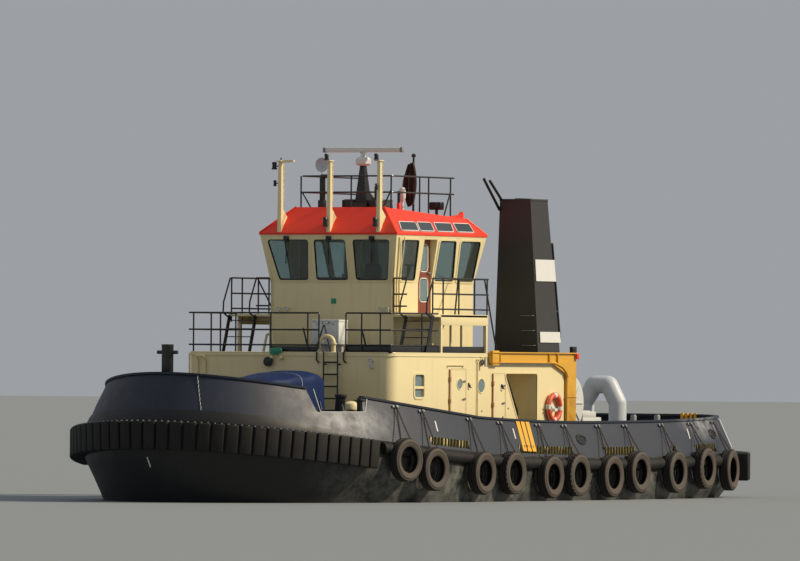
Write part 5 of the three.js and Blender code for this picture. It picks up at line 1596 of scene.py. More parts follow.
piece("radar_bar_ends", scanner_ends, marine_paint(
    "grey moulded end cap", 0x8D8F90, 0x7E8082, 0.5, ripple=0.0), "grey_paint", "radar_scanner")

# The satellite disc on its pole, and the flagstaff with a furled flag, a roof horn and a searchlight
grey_enamel = marine_paint("mid-grey enamel", 0x8F9294, 0x7F8284, 0.42, streak=0.25, ripple=0.001,
                           grime=0x5E5648)


def disc(shape):
    lathe(shape, [(CORE, 0.0), (0.02, 0.0), (0.02, 1.12), (CORE, 1.12)], upright(2.88, -0.87, 7.3), 12)
    lathe(shape, [(CORE, -0.02), (0.06, -0.05), (0.07, -0.02), (0.165, 0.03), (0.185, 0.05), (0.18, 0.055),
                  (0.155, 0.035), (0.06, 0.0), (CORE, -0.005)], towards_bow(2.88, -0.86, 8.44), 32)


dish_white = marine_paint("pale grey dish enamel", 0xC4C8CE, 0xB6BAC2, 0.4, streak=0.15, ripple=0.0)
dish = piece("satellite_dish", disc, dish_white, "grey_paint")
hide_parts("satellite_disc")


def dish_stand(shape):
    block(shape, (2.8, -0.95, 7.28), (2.96, -0.79, 7.55), 0.01)
    block(shape, (2.83, -0.92, 7.54), (2.93, -0.8, 8.12), 0.008)
    block(shape, (2.85, -0.9, 8.1), (2.91, -0.74, 8.2), 0.008)


piece("dish_stand", dish_stand, black_enamel, "black_paint")


def staff(shape):
    lathe(shape, [(CORE, 0.0), (0.06, 0.0), (0.06, 0.02), (0.03, 0.03), (0.026, 1.46), (CORE, 1.46)],
          upright(0.6, 0.5, 7.2), 14)
    lathe(shape, [(CORE, 0.0), (0.035, 0.01), (0.058, 0.04), (0.058, 0.07), (0.035, 0.1), (CORE, 0.11)],
          upright(0.6, 0.5, 8.66), 16)


pole = piece("flag_pole", staff, black_enamel, "black_paint")
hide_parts("flagstaff")


def woven(name, scale, detail, dark, pale, threads, distortion, distance, strength, surface):
    """A mottled cloth. Its weave is drawn several times too coarse so that it shows."""
    material, tree, noise, colour = mottled(name, scale, detail, dark, pale)
    place = put(tree, "ShaderNodeTexCoord").outputs["Object"]
    weave = put(tree, "ShaderNodeTexWave", {"Vector": place, "Scale": threads, "Distortion": distortion})
    raised = put(tree, "ShaderNodeBump", {"Height": weave.outputs["Fac"], "Distance": distance,
                                          "Strength": strength})
    cloth = put(tree, "ShaderNodeBsdfPrincipled", {"Base Color": colour, "Normal": raised.outputs[0],
                                                   **surface})
    put(tree, "ShaderNodeOutputMaterial", {"Surface": cloth.outputs[0]})
    return material


flag_cloth = woven("worn brown bunting", 6.0, 4.0, 0x14110D, 0x3E2C1C, 60.0, 1.0, 0.002, 0.5,
                   {"Roughness": 0.9, "Sheen Weight": 0.3})
FLAG_TALL = 1.08
FLAG_ROWS = 24
FLAG_FOLDS = 48


def flag_point(i, j):
    """One point of the cloth, gathered in loose pleats beside the pole."""
    down = i / FLAG_ROWS
    along = j / FLAG_FOLDS
    fullness = 0.2 + 0.8 * math.sin(math.pi * min(1.0, 0.08 + 0.84 * down))
    swing = (1 + math.sin(along * 5.5 * math.pi)) * (0.077 - 0.04 * fullness)
    return (0.64 + swing, 0.52 + (0.12 - along * 0.44) * fullness, 8.56 - FLAG_TALL * down - 0.08 * along)


flag_corners = [flag_point(i, j) for i in range(FLAG_ROWS + 1) for j in range(FLAG_FOLDS + 1)]
width = FLAG_FOLDS + 1
flag_faces = [(i * width + j, i * width + j + 1, (i + 1) * width + j + 1, (i + 1) * width + j)
              for i in range(FLAG_ROWS) for j in range(FLAG_FOLDS)]
flag = drawn("furled_flag", flag_corners, flag_faces, flag_cloth, "black_paint", crease=math.pi)
thick = flag.modifiers.new("cloth thickness", "SOLIDIFY")
thick.thickness = 0.003


def roof_horn(shape):
    """A white trumpet on its pedestal."""
    lathe(shape, [(CORE, 0.0), (0.05, 0.0), (0.04, 0.05), (0.035, 0.3), (0.06, 0.33), (0.085, 0.42),
                  (0.085, 0.6), (0.05, 0.66), (CORE, 0.67)], upright(1.75, 0.82, 7.22), 16)


piece("roof_horn", roof_horn, white_paint, "white_paint")


def searchlight(shape):
    block(shape, (0.27, 0.98, 7.12), (0.33, 1.04, 7.45), 0.008)
    block(shape, (0.2, 0.84, 7.34), (0.4, 1.18, 7.54), 0.03, 3)
    lathe(shape, [(CORE, 0.0), (0.09, 0.0), (0.1, 0.05), (CORE, 0.05)], towards_bow(0.4, 1.01, 7.44), 18)


piece("roof_searchlight", searchlight, cast_steel, "black_paint")

# The rails. Black painted steel pipe, welded, round the roof, the bridge deck and the wing platforms.
RAIL = 0.021


def roof_height(x):
    return 7.12 + 0.24 * (x + 0.17) / 3.67


roof_loop = [(-0.07, -1.3), (3.2, -1.3), (3.2, 1.3), (-0.07, 1.3)]
ROOF_RAIL_TOP = 8.15
roof_lines = [[(x, y, z) for x, y in roof_loop] for z in (ROOF_RAIL_TOP, 7.74)]
roof_stanchions = [(3.2, -1.3), (3.2, 0.15), (3.2, 1.3), (1.72, 1.3), (1.25, 1.3), (0.1, 1.3), (0.1, -1.3),
                   (1.72, -1.3)]
roof_lines += [[(x, y, roof_height(x) - 0.06), (x, y, ROOF_RAIL_TOP)] for x, y in roof_stanchions]
for x, y, lean_x, lean_y in ((3.2, -1.3, 0, 0.28), (3.2, 1.3, 0, -0.22), (0.1, 1.3, 0.35, 0),
                             (0.1, -1.3, 0.35, 0)):
    roof_lines.append([(x, y, 7.8), (x + lean_x, y + lean_y, roof_height(x) + 0.02)])
rail_top = tubes("roof_railing", roof_lines, RAIL, black_enamel, "black_paint", bend=0.12)
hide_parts("roof_rail")

RAIL_FRONT, RAIL_AFT = 6.04, 3.62
RAIL_SIDE = 2.9
RAIL_TOP = 4.68
# Side, the breadth of the gate's post, and the breadths of the front posts
for side, sign, gate, posts in (("port", 1.0, 1.62, (2.07, 2.6)),
                                ("starboard", -1.0, -0.85, (-0.53, 0.53, 1.54, 2.25, 2.76))):
    gate_y, side_y = sign * gate, sign * RAIL_SIDE
    lines = [[(RAIL_FRONT, gate_y, z), (RAIL_FRONT, side_y, z), (RAIL_AFT, side_y, z)] for z in (4.26, 3.88)]
    lines.append([(6.15, gate_y + 0.07, 3.44), (6.15, gate_y, 3.5), (6.15, gate_y, 3.7),
                  (RAIL_FRONT, gate_y, 3.78), (RAIL_FRONT, gate_y, RAIL_TOP), (RAIL_FRONT, side_y, RAIL_TOP),
                  (RAIL_AFT, side_y, RAIL_TOP)])
    for x, y in [(RAIL_FRONT, y) for y in posts] + [(4.45, RAIL_SIDE)]:
        lines.append([(x, sign * y, DECK_TOP), (x, sign * y, RAIL_TOP)])
    brace_y = sign * (gate + 0.45)
    lines.append([(RAIL_FRONT, brace_y, 4.3), (RAIL_FRONT - 0.3, brace_y, 3.7)])
    railing = tubes(f"bridge_railing_{side}", lines, RAIL, black_enamel, "black_paint", bend=0.04)
    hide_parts(f"bridge_rail_{side}")

    def toe_boards(shape):
        if side == "port":
            block(shape, (6.02, 1.62, 3.69), (6.032, 2.9, 3.86), 0.004)
            block(shape, (1.2, 2.885, 3.69), (6.03, 2.9, 3.87), 0.004)
        else:
            block(shape, (6.02, -0.55, 3.69), (6.032, 0.85, 3.85), 0.004)
    piece(f"bridge_toe_board_{side}", toe_boards, black_enamel, "black_paint")

# The wing platforms. Plated landings at the wheelhouse doors on two posts, with a deep cream fascia
# outboard, black rails and a steep ladder down to the bridge deck.
WING_IN = 1.775
WING_OUT = 2.94
WING_Z = 4.66
WING_RAIL = 5.57
for side, sign in SIDES:
    def landing(shape):
        block(shape, (1.1, sign * WING_IN, 4.6), (3.95, sign * WING_OUT, WING_Z), 0.006)
        block(shape, (1.06, sign * (WING_OUT - 0.05), 4.4), (3.53, sign * WING_OUT, 4.67), 0.006)
        for x in (1.08, 3.44):
            block(shape, (x, sign * (WING_OUT - 0.09), 3.685), (x + 0.09, sign * WING_OUT, 4.42), 0.008)
        for x in (2.9, 2.3, 1.7):
            block(shape, (x, sign * (WING_IN + 0.05), 4.5), (x + 0.06, sign * (WING_OUT - 0.05), 4.6), 0.006)
        block(shape, (2.86, sign * 2.3, 3.685), (2.92, sign * 2.36, 4.5), 0.006)
    wing = piece(f"wing_landing_{side}", landing, cream_paint, "cream_paint")
    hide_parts(f"wing_platform_{side}")

    def at(x, y, z):
        return (x, sign * y, z)

    lines = [[at(3.92, 1.8, z), at(3.92, 2.17, z)] for z in (WING_RAIL, 5.17, 4.87)]
    lines += [[at(3.9, 2.9, z), at(1.0, 2.9, z)] for z in (WING_RAIL, 5.18, 4.8)]
    lines += [[at(x, 2.9, WING_Z - 0.2), at(x, 2.9, WING_RAIL)] for x in (3.9, 3.36, 2.54, 1.72, 1.06)]
    lines += [[at(2.58, 2.9, WING_RAIL), at(2.2, 2.6, WING_Z)],
              [at(3.92, 1.8, WING_Z), at(3.92, 1.8, WING_RAIL)],
              [at(1.2, 2.9, WING_RAIL), at(0.52, 2.9, 3.7)],
              [at(1.0, 2.9, WING_RAIL), at(1.0, 1.8, WING_RAIL)]]
    # Each ladder handrail runs down forward, then kinks back to the foot of its stringer
    for y in (2.17, 2.93):
        lines.append([at(3.92, y, WING_RAIL), at(4.25, y, 4.96), at(4.27, y, 4.69), at(3.92, y, 4.54),
                      at(4.22, y, 3.7)])
    tubes(f"wing_railing_{side}", lines, RAIL, black_enamel, "black_paint", bend=0.05)

    def ladder(shape):
        for y in (2.17, 2.93):
            slab(shape, [(3.87, 4.64), (4.0, 4.64), (4.32, 3.69), (4.19, 3.69)], sign * y - 0.012,
                 sign * y + 0.012)
        for i in range(4):
            share = (i + 0.7) / 4.6
            x, z = 3.94 + 0.32 * share, 4.64 - 0.95 * share
            block(shape, (x - 0.09, sign * 2.18, z - 0.012), (x + 0.09, sign * 2.92, z + 0.012), 0.004)
    piece(f"wing_ladder_{side}", ladder, black_enamel, "black_paint")

# The funnels. Tall tapered casings of black plate for the engine exhausts and air. Two blank white
# boards hang on the outer side, with rungs on the front and a pipe down the after edge.
funnel_black = marine_paint("black funnel enamel", 0x2E2E30, 0x38383A, 0.55, streak=0.3, ripple=0.006,
                            grime=0x3A3632)
for side, sign in SIDES:
    paint_node(f"funnel_{side}", funnel_black)

    def funnel_face(z):
        """Front, aft, inner and outer edge of the casing at one height."""
        share = (z - 3.68) / (7.65 - 3.68)
        return (-1.77 + 0.21 * share, -2.95 + 0.47 * share, 1.58 + 0.25 * share, 2.85 - 0.14 * share)

    def boards(shape):
        for low, high, fore_inset, aft_inset in ((5.56, 6.11, 0.06, -0.07), (4.0, 4.27, 0.12, -0.05)):
            board = []
            for z, order in ((low, 1), (high, -1)):
                front, aft, inner, outer = funnel_face(z)
                board += [(front - fore_inset, outer, z), (aft + aft_inset, outer, z)][::order]
            lofted(shape, [[(x, sign * (y + proud), z) for x, y, z in board] for proud in (0.012, 0.026)])
    piece(f"funnel_boards_{side}", boards, white_paint, "white_paint")
    lines = []
    for z in (3.92, 4.3, 4.68):
        front, aft, inner, outer = funnel_face(z)
        near, far = sign * (outer - 0.42), sign * (outer - 0.06)
        lines.append([(front, near, z), (front + 0.06, near, z), (front + 0.06, far, z), (front, far, z)])
    tubes(f"funnel_rungs_{side}", lines, 0.012, worn_steel, "grey_paint", bend=0.02, sides=6)
    pipe = []
    for z in (4.12, 4.8, 5.6, 6.52):
        front, aft, inner, outer = funnel_face(z)
        pipe.append((aft - 0.12, sign * (outer - 0.03), z))
    clips = [[(x + 0.13, y, z), (x, y, z)] for x, y, z in pipe]
    stays = [[(-1.58, sign * 1.81, 7.37), (-0.78, sign * 1.78, 8.15)],
             [(-1.6, sign * 1.86, 7.62), (-0.9, sign * 1.89, 8.1)]]
    tubes(f"funnel_pipes_{side}", [pipe, *clips], 0.03, black_enamel, "black_paint", bend=0.02)
    tubes(f"funnel_stays_{side}", stays, 0.036, black_enamel, "black_paint", bend=0.0)

    def funnel_rim(shape):
        front, aft, inner, outer = funnel_face(7.65)
        block(shape, (aft - 0.012, sign * (inner - 0.012), 7.6),
              (front + 0.012, sign * (outer + 0.012), 7.652), 0.006)
        for x in (-1.85, -2.2):
            lathe(shape, [(0.13, 0.0), (0.15, 0.0), (0.15, 0.07), (0.13, 0.07)],
                  upright(x, sign * 2.27, 7.6), 20)
    piece(f"funnel_rim_{side}", funnel_rim, funnel_black, "black_paint")

# The gantry. Box beams of yellow plate along the house side and across the boat, on two posts, with
# flanges, stiffeners and curved knees at the corners.
gantry_yellow = marine_paint("golden yellow gantry enamel", 0xE2AE36, 0xD49E2A, 0.4, streak=0.3, ripple=0.003,
                             grime=0x8A5A24, coat=0.15)
paint_node("gantry", gantry_yellow)
# Painted shade: the yellow darkens round the after post, which stands in shade
toned_patch(gantry_yellow, 0xA8731C, (-3.27, 2.9, 2.3), (0.7, 0.6, 1.4), 0.8)
for side, sign in SIDES:
    def gantry_plates(shape):
        block(shape, (-3.5, sign * 2.97, 3.715), (1.09, sign * 3.09, 3.745), 0.005)
        block(shape, (-2.3, sign * 2.975, 3.47), (1.09, sign * 3.085, 3.49), 0.005)
        for x in (1.04, 0.62, -2.0, -2.45):
            block(shape, (x, sign * 2.975, 3.48), (x + 0.025, sign * 3.08, 3.73), 0.004)
        block(shape, (0.66, sign * 2.96, 3.4), (1.02, sign * 3.06, 3.78), 0.02)
        for z in (1.9, 2.6):
            block(shape, (-3.52, sign * 2.77, z), (-3.01, sign * 3.05, z + 0.02), 0.004)
        slab(shape, [(-3.03, 3.12), (-2.93, 3.25), (-2.75, 3.36), (-2.45, 3.44), (-2.12, 3.48), (-2.12, 3.5),
                     (-3.03, 3.5)], sign * 2.98, sign * 3.06)
    piece(f"gantry_plates_{side}", gantry_plates, gantry_yellow, "yellow_paint")

# The towing winch. A drum of rope between two round flanges on a bed, with a covered gear case aft,
# all in white enamel.
winch_white = marine_paint("off-white winch enamel", 0xD8D9D6, 0xC6C8C4, 0.4, streak=0.4, ripple=0.002,
                           grime=0x8A6A44)
WINCH_X = -6.75
WINCH_Z = 2.45


def winch_body(shape):
    axle = Matrix.Translation((WINCH_X, 0.0, WINCH_Z))
    for low, high in ((-1.15, -1.08), (1.08, 1.15)):
        lathe(shape, [(CORE, low), (0.66, low), (0.72, low + 0.012), (0.72, high - 0.012), (0.66, high),
                      (CORE, high)], axle, 48)
        for i in range(8):
            spoke = axle @ Matrix.Rotation(math.pi / 4 * i, 4, "Y")
            out = high if low > 0 else low - 0.03
            block_in(shape, spoke, (0.12, out, -0.02), (0.62, out + 0.03, 0.02), 0.004)
    lathe(shape, [(CORE, -1.2), (0.12, -1.2), (0.12, 1.2), (CORE, 1.2)], axle, 24)
    frame_line = [(-7.55, 1.1), (-5.95, 1.1), (-6.5, 2.66), (-7.0, 2.66)]
    slab(shape, frame_line, 0.9, 1.0)
    slab(shape, frame_line, -1.0, -0.9)
    block(shape, (-7.55, -1.1, 1.08), (-5.95, 1.1, 1.45), 0.02)
    block(shape, (-8.54, -1.1, 1.08), (-7.5, 1.1, 2.08), 0.03)
    block(shape, (-8.25, -1.1, 2.06), (-7.5, 1.1, 2.23), 0.03)
    for y in (-0.7, 0.0, 0.7):
        block(shape, (-8.2, y - 0.25, 2.22), (-7.7, y + 0.25, 2.25), 0.008)
    block(shape, (-7.1, 0.86, 2.3), (-6.4, 1.03, 2.6), 0.03)
    block(shape, (-7.1, -1.03, 2.3), (-6.4, -0.86, 2.6), 0.03)


winch = piece("winch_frame", winch_body, winch_white, "white_paint")
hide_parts("towing_winch")
rope_fibre, tree = new_material("laid polyester rope")
place = put(tree, "ShaderNodeTexCoord").outputs["Object"]
strands = put(tree, "ShaderNodeTexWave", {"Vector": place, "Scale": 9.0, "Distortion": 1.5},
              bands_direction="DIAGONAL")
shade = put(tree, "ShaderNodeMix", {"Factor": strands.outputs["Fac"], "A": linear(0x8A8268),
                                    "B": linear(0xC2BBA0)}, data_type="RGBA")
lay = put(tree, "ShaderNodeBump", {"Height": strands.outputs["Fac"], "Distance": 0.008, "Strength": 0.8})
fibre = put(tree, "ShaderNodeBsdfPrincipled", {"Base Color": shade.outputs["Result"], "Roughness": 0.85,
                                               "Normal": lay.outputs[0]})
put(tree, "ShaderNodeOutputMaterial", {"Surface": fibre.outputs[0]})
ROPE_TURNS = 20
TURN_STEPS = 28
COIL_RADIUS = 0.385
COIL_HALF = 0.82
coil = []
for i in range(ROPE_TURNS * TURN_STEPS + 1):
    turn = 2 * math.pi * i / TURN_STEPS
    coil.append((WINCH_X + COIL_RADIUS * math.cos(turn),
                 2 * COIL_HALF * i / (ROPE_TURNS * TURN_STEPS) - COIL_HALF,
                 WINCH_Z + COIL_RADIUS * math.sin(turn)))
tubes("drum_rope", [coil], 0.04, rope_fibre, "white_paint", bend=0.0, sides=6)

# The towing staple. Mitred lengths of wide steel pipe that keep the rope clear of the deck gear.
staple_grey = marine_paint("pale grey staple enamel", 0xCDD3DA, 0xBEC4CC, 0.42, streak=0.2, ripple=0.001,
                           grime=0x6A6258)
staple_line = [(-10.6, y, z) for y, z in ((-0.48, 1.15), (-0.48, 2.45), (-0.22, 2.93), (0.22, 2.93),
                                          (0.48, 2.45), (0.48, 1.15))]
staple = tubes("staple_pipe", [staple_line], 0.235, staple_grey, "grey_paint", bend=0.06, sides=28)
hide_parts("towing_staple")

# The locker. A white box with a lid and catches, on short bearers against the front of the wheelhouse
# deck, with two black brackets before it.


def locker(shape):
    block(shape, (4.55, 0.05, 3.9), (5.0, 0.83, 4.47), 0.012)
    block(shape, (4.54, 0.04, 4.46), (5.01, 0.84, 4.52), 0.012)
    block(shape, (4.6, 0.15, 3.685), (4.7, 0.75, 3.92), 0.008)
    for y in (0.22, 0.66):
        block(shape, (5.0, y - 0.03, 4.4), (5.02, y + 0.03, 4.5), 0.004)
    block(shape, (5.0, 0.13, 3.98), (5.006, 0.75, 4.36), 0.003)


box_piece = piece("locker_box", locker, white_paint, "white_paint")
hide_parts("deck_locker")
tubes("locker_brackets", [[(5.3, 0.32, 3.69), (5.25, 0.55, 4.42), (5.3, 0.78, 3.69)],
                          [(5.25, 0.5, 4.42), (5.0, 0.55, 4.45)]], 0.02, black_enamel, "black_paint",
      bend=0.02)

# The gooseneck vent. A bent cream pipe that lets air into the house, with its mouth turned down.
vent_line = [(5.7, 1.08, DECK_TOP), (5.7, 1.08, 4.06), (5.7, 0.8, 4.12), (5.7, 0.72, 3.97)]
vent = tubes("vent_pipe", [vent_line], 0.056, cream_paint, "cream_paint", bend=0.16, sides=20)
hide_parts("gooseneck_vent")


def vent_rings(shape):
    lathe(shape, [(0.05, 0.0), (0.11, 0.0), (0.11, 0.018), (0.05, 0.018)], upright(5.7, 1.08, 3.685), 20)
    lathe(shape, [(0.06, 0.0), (0.085, 0.0), (0.085, 0.03), (0.06, 0.03)], upright(5.7, 1.08, 3.9), 20)


piece("vent_rings", vent_rings, cream_paint, "cream_paint")

# The bow bitt. A thick steel post with a cross bar, set through the foredeck.


def bitt(shape):
    lathe(shape, [(CORE, 0.0), (0.145, 0.0), (0.145, 2.02), (0.15, 2.03), (0.15, 2.09), (0.14, 2.1),
                  (CORE, 2.1)], upright(12.05, 0.0, 1.76), 32)
    lathe(shape, [(CORE, -0.29), (0.045, -0.28), (0.045, 0.28), (CORE, 0.29)],
          Matrix.Translation((12.05, 0.0, 3.665)), 20)


post_piece = piece("bitt_post", bitt, cast_steel, "black_paint")
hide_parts("bow_bitt")

# The ladder on the house front: two round stringers on brackets, with welded rungs.
ladder_lines = []
for y in (1.09, 1.49):
    ladder_lines.append([(HOUSE_FORE, y, 3.74), (6.22, y, 3.74), (6.22, y, 1.5)])
    ladder_lines += [[(HOUSE_FORE, y, z), (6.22, y, z)] for z in (1.9, 3.4)]
ladder_lines += [[(6.22, 1.09, 1.65 + 0.3 * i), (6.22, 1.49, 1.65 + 0.3 * i)] for i in range(7)]
steps = tubes("front_ladder", ladder_lines, 0.021, black_enamel, "black_paint", bend=0.05)
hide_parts("house_ladder")

# House front fittings: a round lamp, green and white valves, a small hose valve, a pipe down the
# starboard corner and a bent rail round the corner.


def front_fittings(shape):
    lathe(shape, [(CORE, 0.0), (0.05, 0.0), (0.12, 0.06), (0.12, 0.12), (CORE, 0.13)],
          towards_bow(HOUSE_FORE, -0.52, 3.46), 20)


piece("front_lamp", front_fittings, cast_steel, "black_paint")


def front_valves(shape):
    block(shape, (HOUSE_FORE, -0.47, 3.64), (6.2, -0.25, 3.8), 0.02)
    lathe(shape, [(CORE, 0.0), (0.03, 0.0), (0.03, 0.06), (0.07, 0.07), (0.07, 0.1), (CORE, 0.11)],
          towards_bow(HOUSE_FORE, -0.2, 3.74), 12)


def hose_caps(shape):
    for y, z in ((-0.43, 3.57), (-0.16, 3.56)):
        lathe(shape, [(CORE, 0.0), (0.04, 0.0), (0.05, 0.06), (0.03, 0.11), (CORE, 0.12)],
              towards_bow(HOUSE_FORE, y, z), 12)


piece("front_valves", front_valves, green_enamel, "grey_paint")
piece("hose_caps", hose_caps, cream_paint, "cream_paint")
tubes("front_lamp_arms", [
    [(HOUSE_FORE, 2.42, 3.5), (6.2, 2.42, 3.5), (6.2, 2.42, 3.31), (HOUSE_FORE, 2.42, 3.31)],
    [(HOUSE_FORE, 2.36, 3.51), (6.18, 2.36, 3.55)]], 0.028, dish_white, "cream_paint", bend=0.03)
tubes("bridge_deck_davit", [[(4.3, -1.74, 3.69), (4.3, -1.64, 4.14), (4.3, -1.5, 4.18), (4.3, -1.41, 3.69)]],
      0.035, cream_paint, "cream_paint", bend=0.05)
tubes("front_corner_pipes", [
    [(6.13, -2.58, 2.3), (6.13, -2.58, 3.5), (6.2, -2.58, 3.6), (6.2, -2.36, 3.6), (6.13, -2.36, 3.5),
     (6.13, -2.36, 2.9)], [(6.13, -2.82, 2.2), (6.13, -2.82, 3.66)]], 0.024, cream_paint, "cream_paint")

# Lifebuoys. Moulded foam rings in red with four white bands and a grab line, each on a white bracket.
buoy_red, tree, noise, sunned = mottled("orange-red buoy vinyl", 3.0, 5.0, 0xD23E22, 0xE66A44)
vinyl = put(tree, "ShaderNodeBsdfPrincipled", {"Base Color": sunned, "Roughness": 0.5})
put(tree, "ShaderNodeOutputMaterial", {"Surface": vinyl.outputs[0]})
BUOY = (-2.32, 2.34)
for side, sign in SIDES:
    middle = Vector((BUOY[0], sign * (HOUSE_OUT + 0.076), BUOY[1]))
    sides, around = 14, 56
    corners, faces, marks = [], [], []
    for i, turn in enumerate(turns(around)):
        a, b = i * sides, (i + 1) % around * sides
        for k, lean in enumerate(turns(sides)):
            radius = 0.31 + 0.07 * math.cos(lean)
            corners.append(middle + Vector((radius * math.cos(turn), 0.07 * math.sin(lean),
                                            radius * math.sin(turn))))
            faces.append((a + k, a + (k + 1) % sides, b + (k + 1) % sides, b + k))
            # A white band at every quarter
            marks.append(1 if abs((math.degrees(turn) + 45) % 90 - 45) < 11 else 0)
    ring = drawn(f"lifebuoy_ring_{side}", corners, faces, [buoy_red, white_paint], "buoy_red", marks=marks,
                 crease=math.pi)
    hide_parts(f"lifebuoy_{side}")
    lines = []
    for start in (0, 90, 180, 270):
        line = []
        for j in range(7):
            turn, reach = math.radians(start + 15 * j), 0.385 + 0.03 * math.sin(math.pi * j / 6)
            line.append(middle + Vector((reach * math.cos(turn), 0.02 * sign, reach * math.sin(turn))))
        lines.append(line)
    tubes(f"lifebuoy_lines_{side}", lines, 0.006, rope_fibre, "white_paint", bend=0.0, sides=6)

    def bracket_cross(shape):
        wall = wall_place(sign)
        place = wall @ Matrix.Translation((BUOY[0], 0.0, BUOY[1]))
        block_in(shape, place, (-0.34, 0.0, -0.03), (0.34, 0.01, 0.03), 0.003)
        block_in(shape, place, (-0.03, 0.0, -0.36), (0.03, 0.01, 0.36), 0.003)
        block_in(shape, place, (-0.08, 0.0, -0.1), (0.08, 0.14, -0.02), 0.01)
    piece(f"lifebuoy_bracket_{side}", bracket_cross, white_paint, "white_paint")


# The dinghy. A small moulded boat rests on two timber chocks under a fitted blue canvas cover. The
# cover is drawn tight over a ridge pole, hangs past the gunwale and has white webbing sewn across it.
DINGHY_Y = 0.95
DINGHY_AFT, DINGHY_FORE = 7.07, 10.7
# Station, half breadth, keel, gunwale and ridge heights
dinghy_lines = [(7.07, 0.64, 1.9, 2.5, 3.12), (7.25, 0.7, 1.85, 2.5, 3.23), (7.75, 0.78, 1.8, 2.55, 3.24),
                (8.95, 0.76, 1.82, 2.6, 3.15), (9.95, 0.52, 1.95, 2.68, 3.0), (10.7, 0.12, 2.35, 2.76, 2.86)]


def dinghy_at(x):
    """Half breadth, keel, gunwale and ridge heights at one station."""
    for (x0, *before), (x1, *after) in zip(dinghy_lines, dinghy_lines[1:]):
        if x <= x1:
            share = max(0.0, (x - x0) / (x1 - x0))
            return [a + (b - a) * share for a, b in zip(before, after)]
    return dinghy_lines[-1][1:]


def dinghy_bottom(x, y):
    """Height of the moulded hull at one station and distance from its middle."""
    half, keel, gunwale = dinghy_at(x)[:3]
    return gunwale - (gunwale - keel) * max(0.0, 1 - (y / (half * 0.97)) ** 2) ** 0.4


gelcoat = marine_paint("off-white moulded gelcoat", 0xD9DAD4, 0xC9CBC4, 0.3, streak=0.2, ripple=0.0, coat=0.4)
corners, faces = [], []
DINGHY_STATIONS, DINGHY_SIDES = 36, 18
for i in range(DINGHY_STATIONS + 1):
    x = DINGHY_AFT + 0.02 + (DINGHY_FORE - DINGHY_AFT - 0.05) * i / DINGHY_STATIONS
    half = dinghy_at(x)[0] * 0.97
    for k in range(DINGHY_SIDES + 1):
        y = half * math.cos(math.pi * k / DINGHY_SIDES)
        corners.append((x, DINGHY_Y + y, dinghy_bottom(x, y)))
        if i < DINGHY_STATIONS:
            a, b = i * (DINGHY_SIDES + 1), (i + 1) * (DINGHY_SIDES + 1)
            n = (k + 1) % (DINGHY_SIDES + 1)
            faces.append((a + k, a + n, b + n, b + k))
faces += [tuple(range(DINGHY_SIDES + 1)), tuple(range(len(corners) - DINGHY_SIDES - 1, len(corners)))]
dinghy_hull = drawn("dinghy_hull", corners, faces, gelcoat, "white_paint")
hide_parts("covered_dinghy")
weathered_timber = marine_paint("grey weathered timber", 0x6E6250, 0x574C3C, 0.85, streak=0.5, grime=0x2E281F)


def dinghy_chocks(shape):
    for x, half in ((7.35, 0.5), (9.35, 0.34)):
        rise = [(half * (1 - i / 6), dinghy_bottom(x + 0.07, half * (1 - i / 6)) + 0.012) for i in range(13)]
        foot = sheer(x) - 0.02
        outline = [(DINGHY_Y + y, z) for y, z in rise] + [(DINGHY_Y - half, foot), (DINGHY_Y + half, foot)]
        slab(shape, outline, x, x + 0.15, "x")


piece("dinghy_chocks", dinghy_chocks, weathered_timber, "grey_paint")

canvas = woven("royal blue proofed canvas", 1.8, 5.0, 0x071840, 0x0F2C60, 90.0, 0.5, 0.001, 0.4,
               {"Roughness": 0.55, "Specular IOR Level": 0.2})
HEM_DROP = 0.26
COVER_ROWS = 26
EDGE_ROW = 18


def cover_point(x, y, along, row_number):
    """One point of the cover on the way from the ridge to the hem. x and y are on the gunwale."""
    gunwale = dinghy_at(x)[2]
    spine_x = min(max(x, DINGHY_AFT + 0.1), DINGHY_FORE - 0.08)
    share = min(1.0, row_number / EDGE_ROW)
    turn = share * math.pi / 2
    reach = math.sin(turn) ** 0.7
    top = dinghy_at(spine_x)[3]
    sag = 0.03 * math.sin(share * math.pi) * (1 + math.cos(2 * math.pi * x / 0.9)) / 2
    height = gunwale + 0.012 + (top - gunwale - 0.012) * max(0.0, math.cos(turn)) ** 0.25 - sag
    hang = max(0.0, (row_number - EDGE_ROW) / (COVER_ROWS - EDGE_ROW))
    flare = 1.0 + 0.014 * share + hang * (0.012 + 0.014 * math.sin(2 * math.pi * along / 0.31))
    drop = hang * (HEM_DROP + 0.025 * math.cos(2 * math.pi * along / 0.62))
    return Vector((spine_x + (x - spine_x) * reach * flare, DINGHY_Y + y * reach * flare, height - drop))


port_edge = [DINGHY_FORE - (DINGHY_FORE - DINGHY_AFT) * i / 72 for i in range(73)]
plan = [(x, dinghy_at(x)[0]) for x in port_edge]
transom = [(DINGHY_AFT, dinghy_at(DINGHY_AFT)[0] * (1 - i / 8)) for i in range(1, 16)]
plan += transom + [(x, -y) for x, y in plan[::-1]]
plan += [(DINGHY_FORE, -0.04), (DINGHY_FORE, 0.04)]
walked = [0.0]
for before, after in zip(plan, plan[1:]):
    walked.append(walked[-1] + math.dist(before, after))


def cover_cloth(shape):
    rows = [[shape.verts.new(cover_point(x, y, along, k)) for (x, y), along in zip(plan, walked)]
            for k in range(COVER_ROWS + 1)]
    for near, far in zip(rows, rows[1:]):
        for i in range(len(plan)):
            j = (i + 1) % len(plan)
            shape.faces.new((near[i], near[j], far[j], far[i]))
    bmesh.ops.remove_doubles(shape, verts=shape.verts, dist=0.0015)


cover = piece("dinghy_cover", cover_cloth, canvas, "blue_cover", crease=math.pi)
thick = cover.modifiers.new("cloth thickness", "SOLIDIFY")
thick.thickness = 0.004


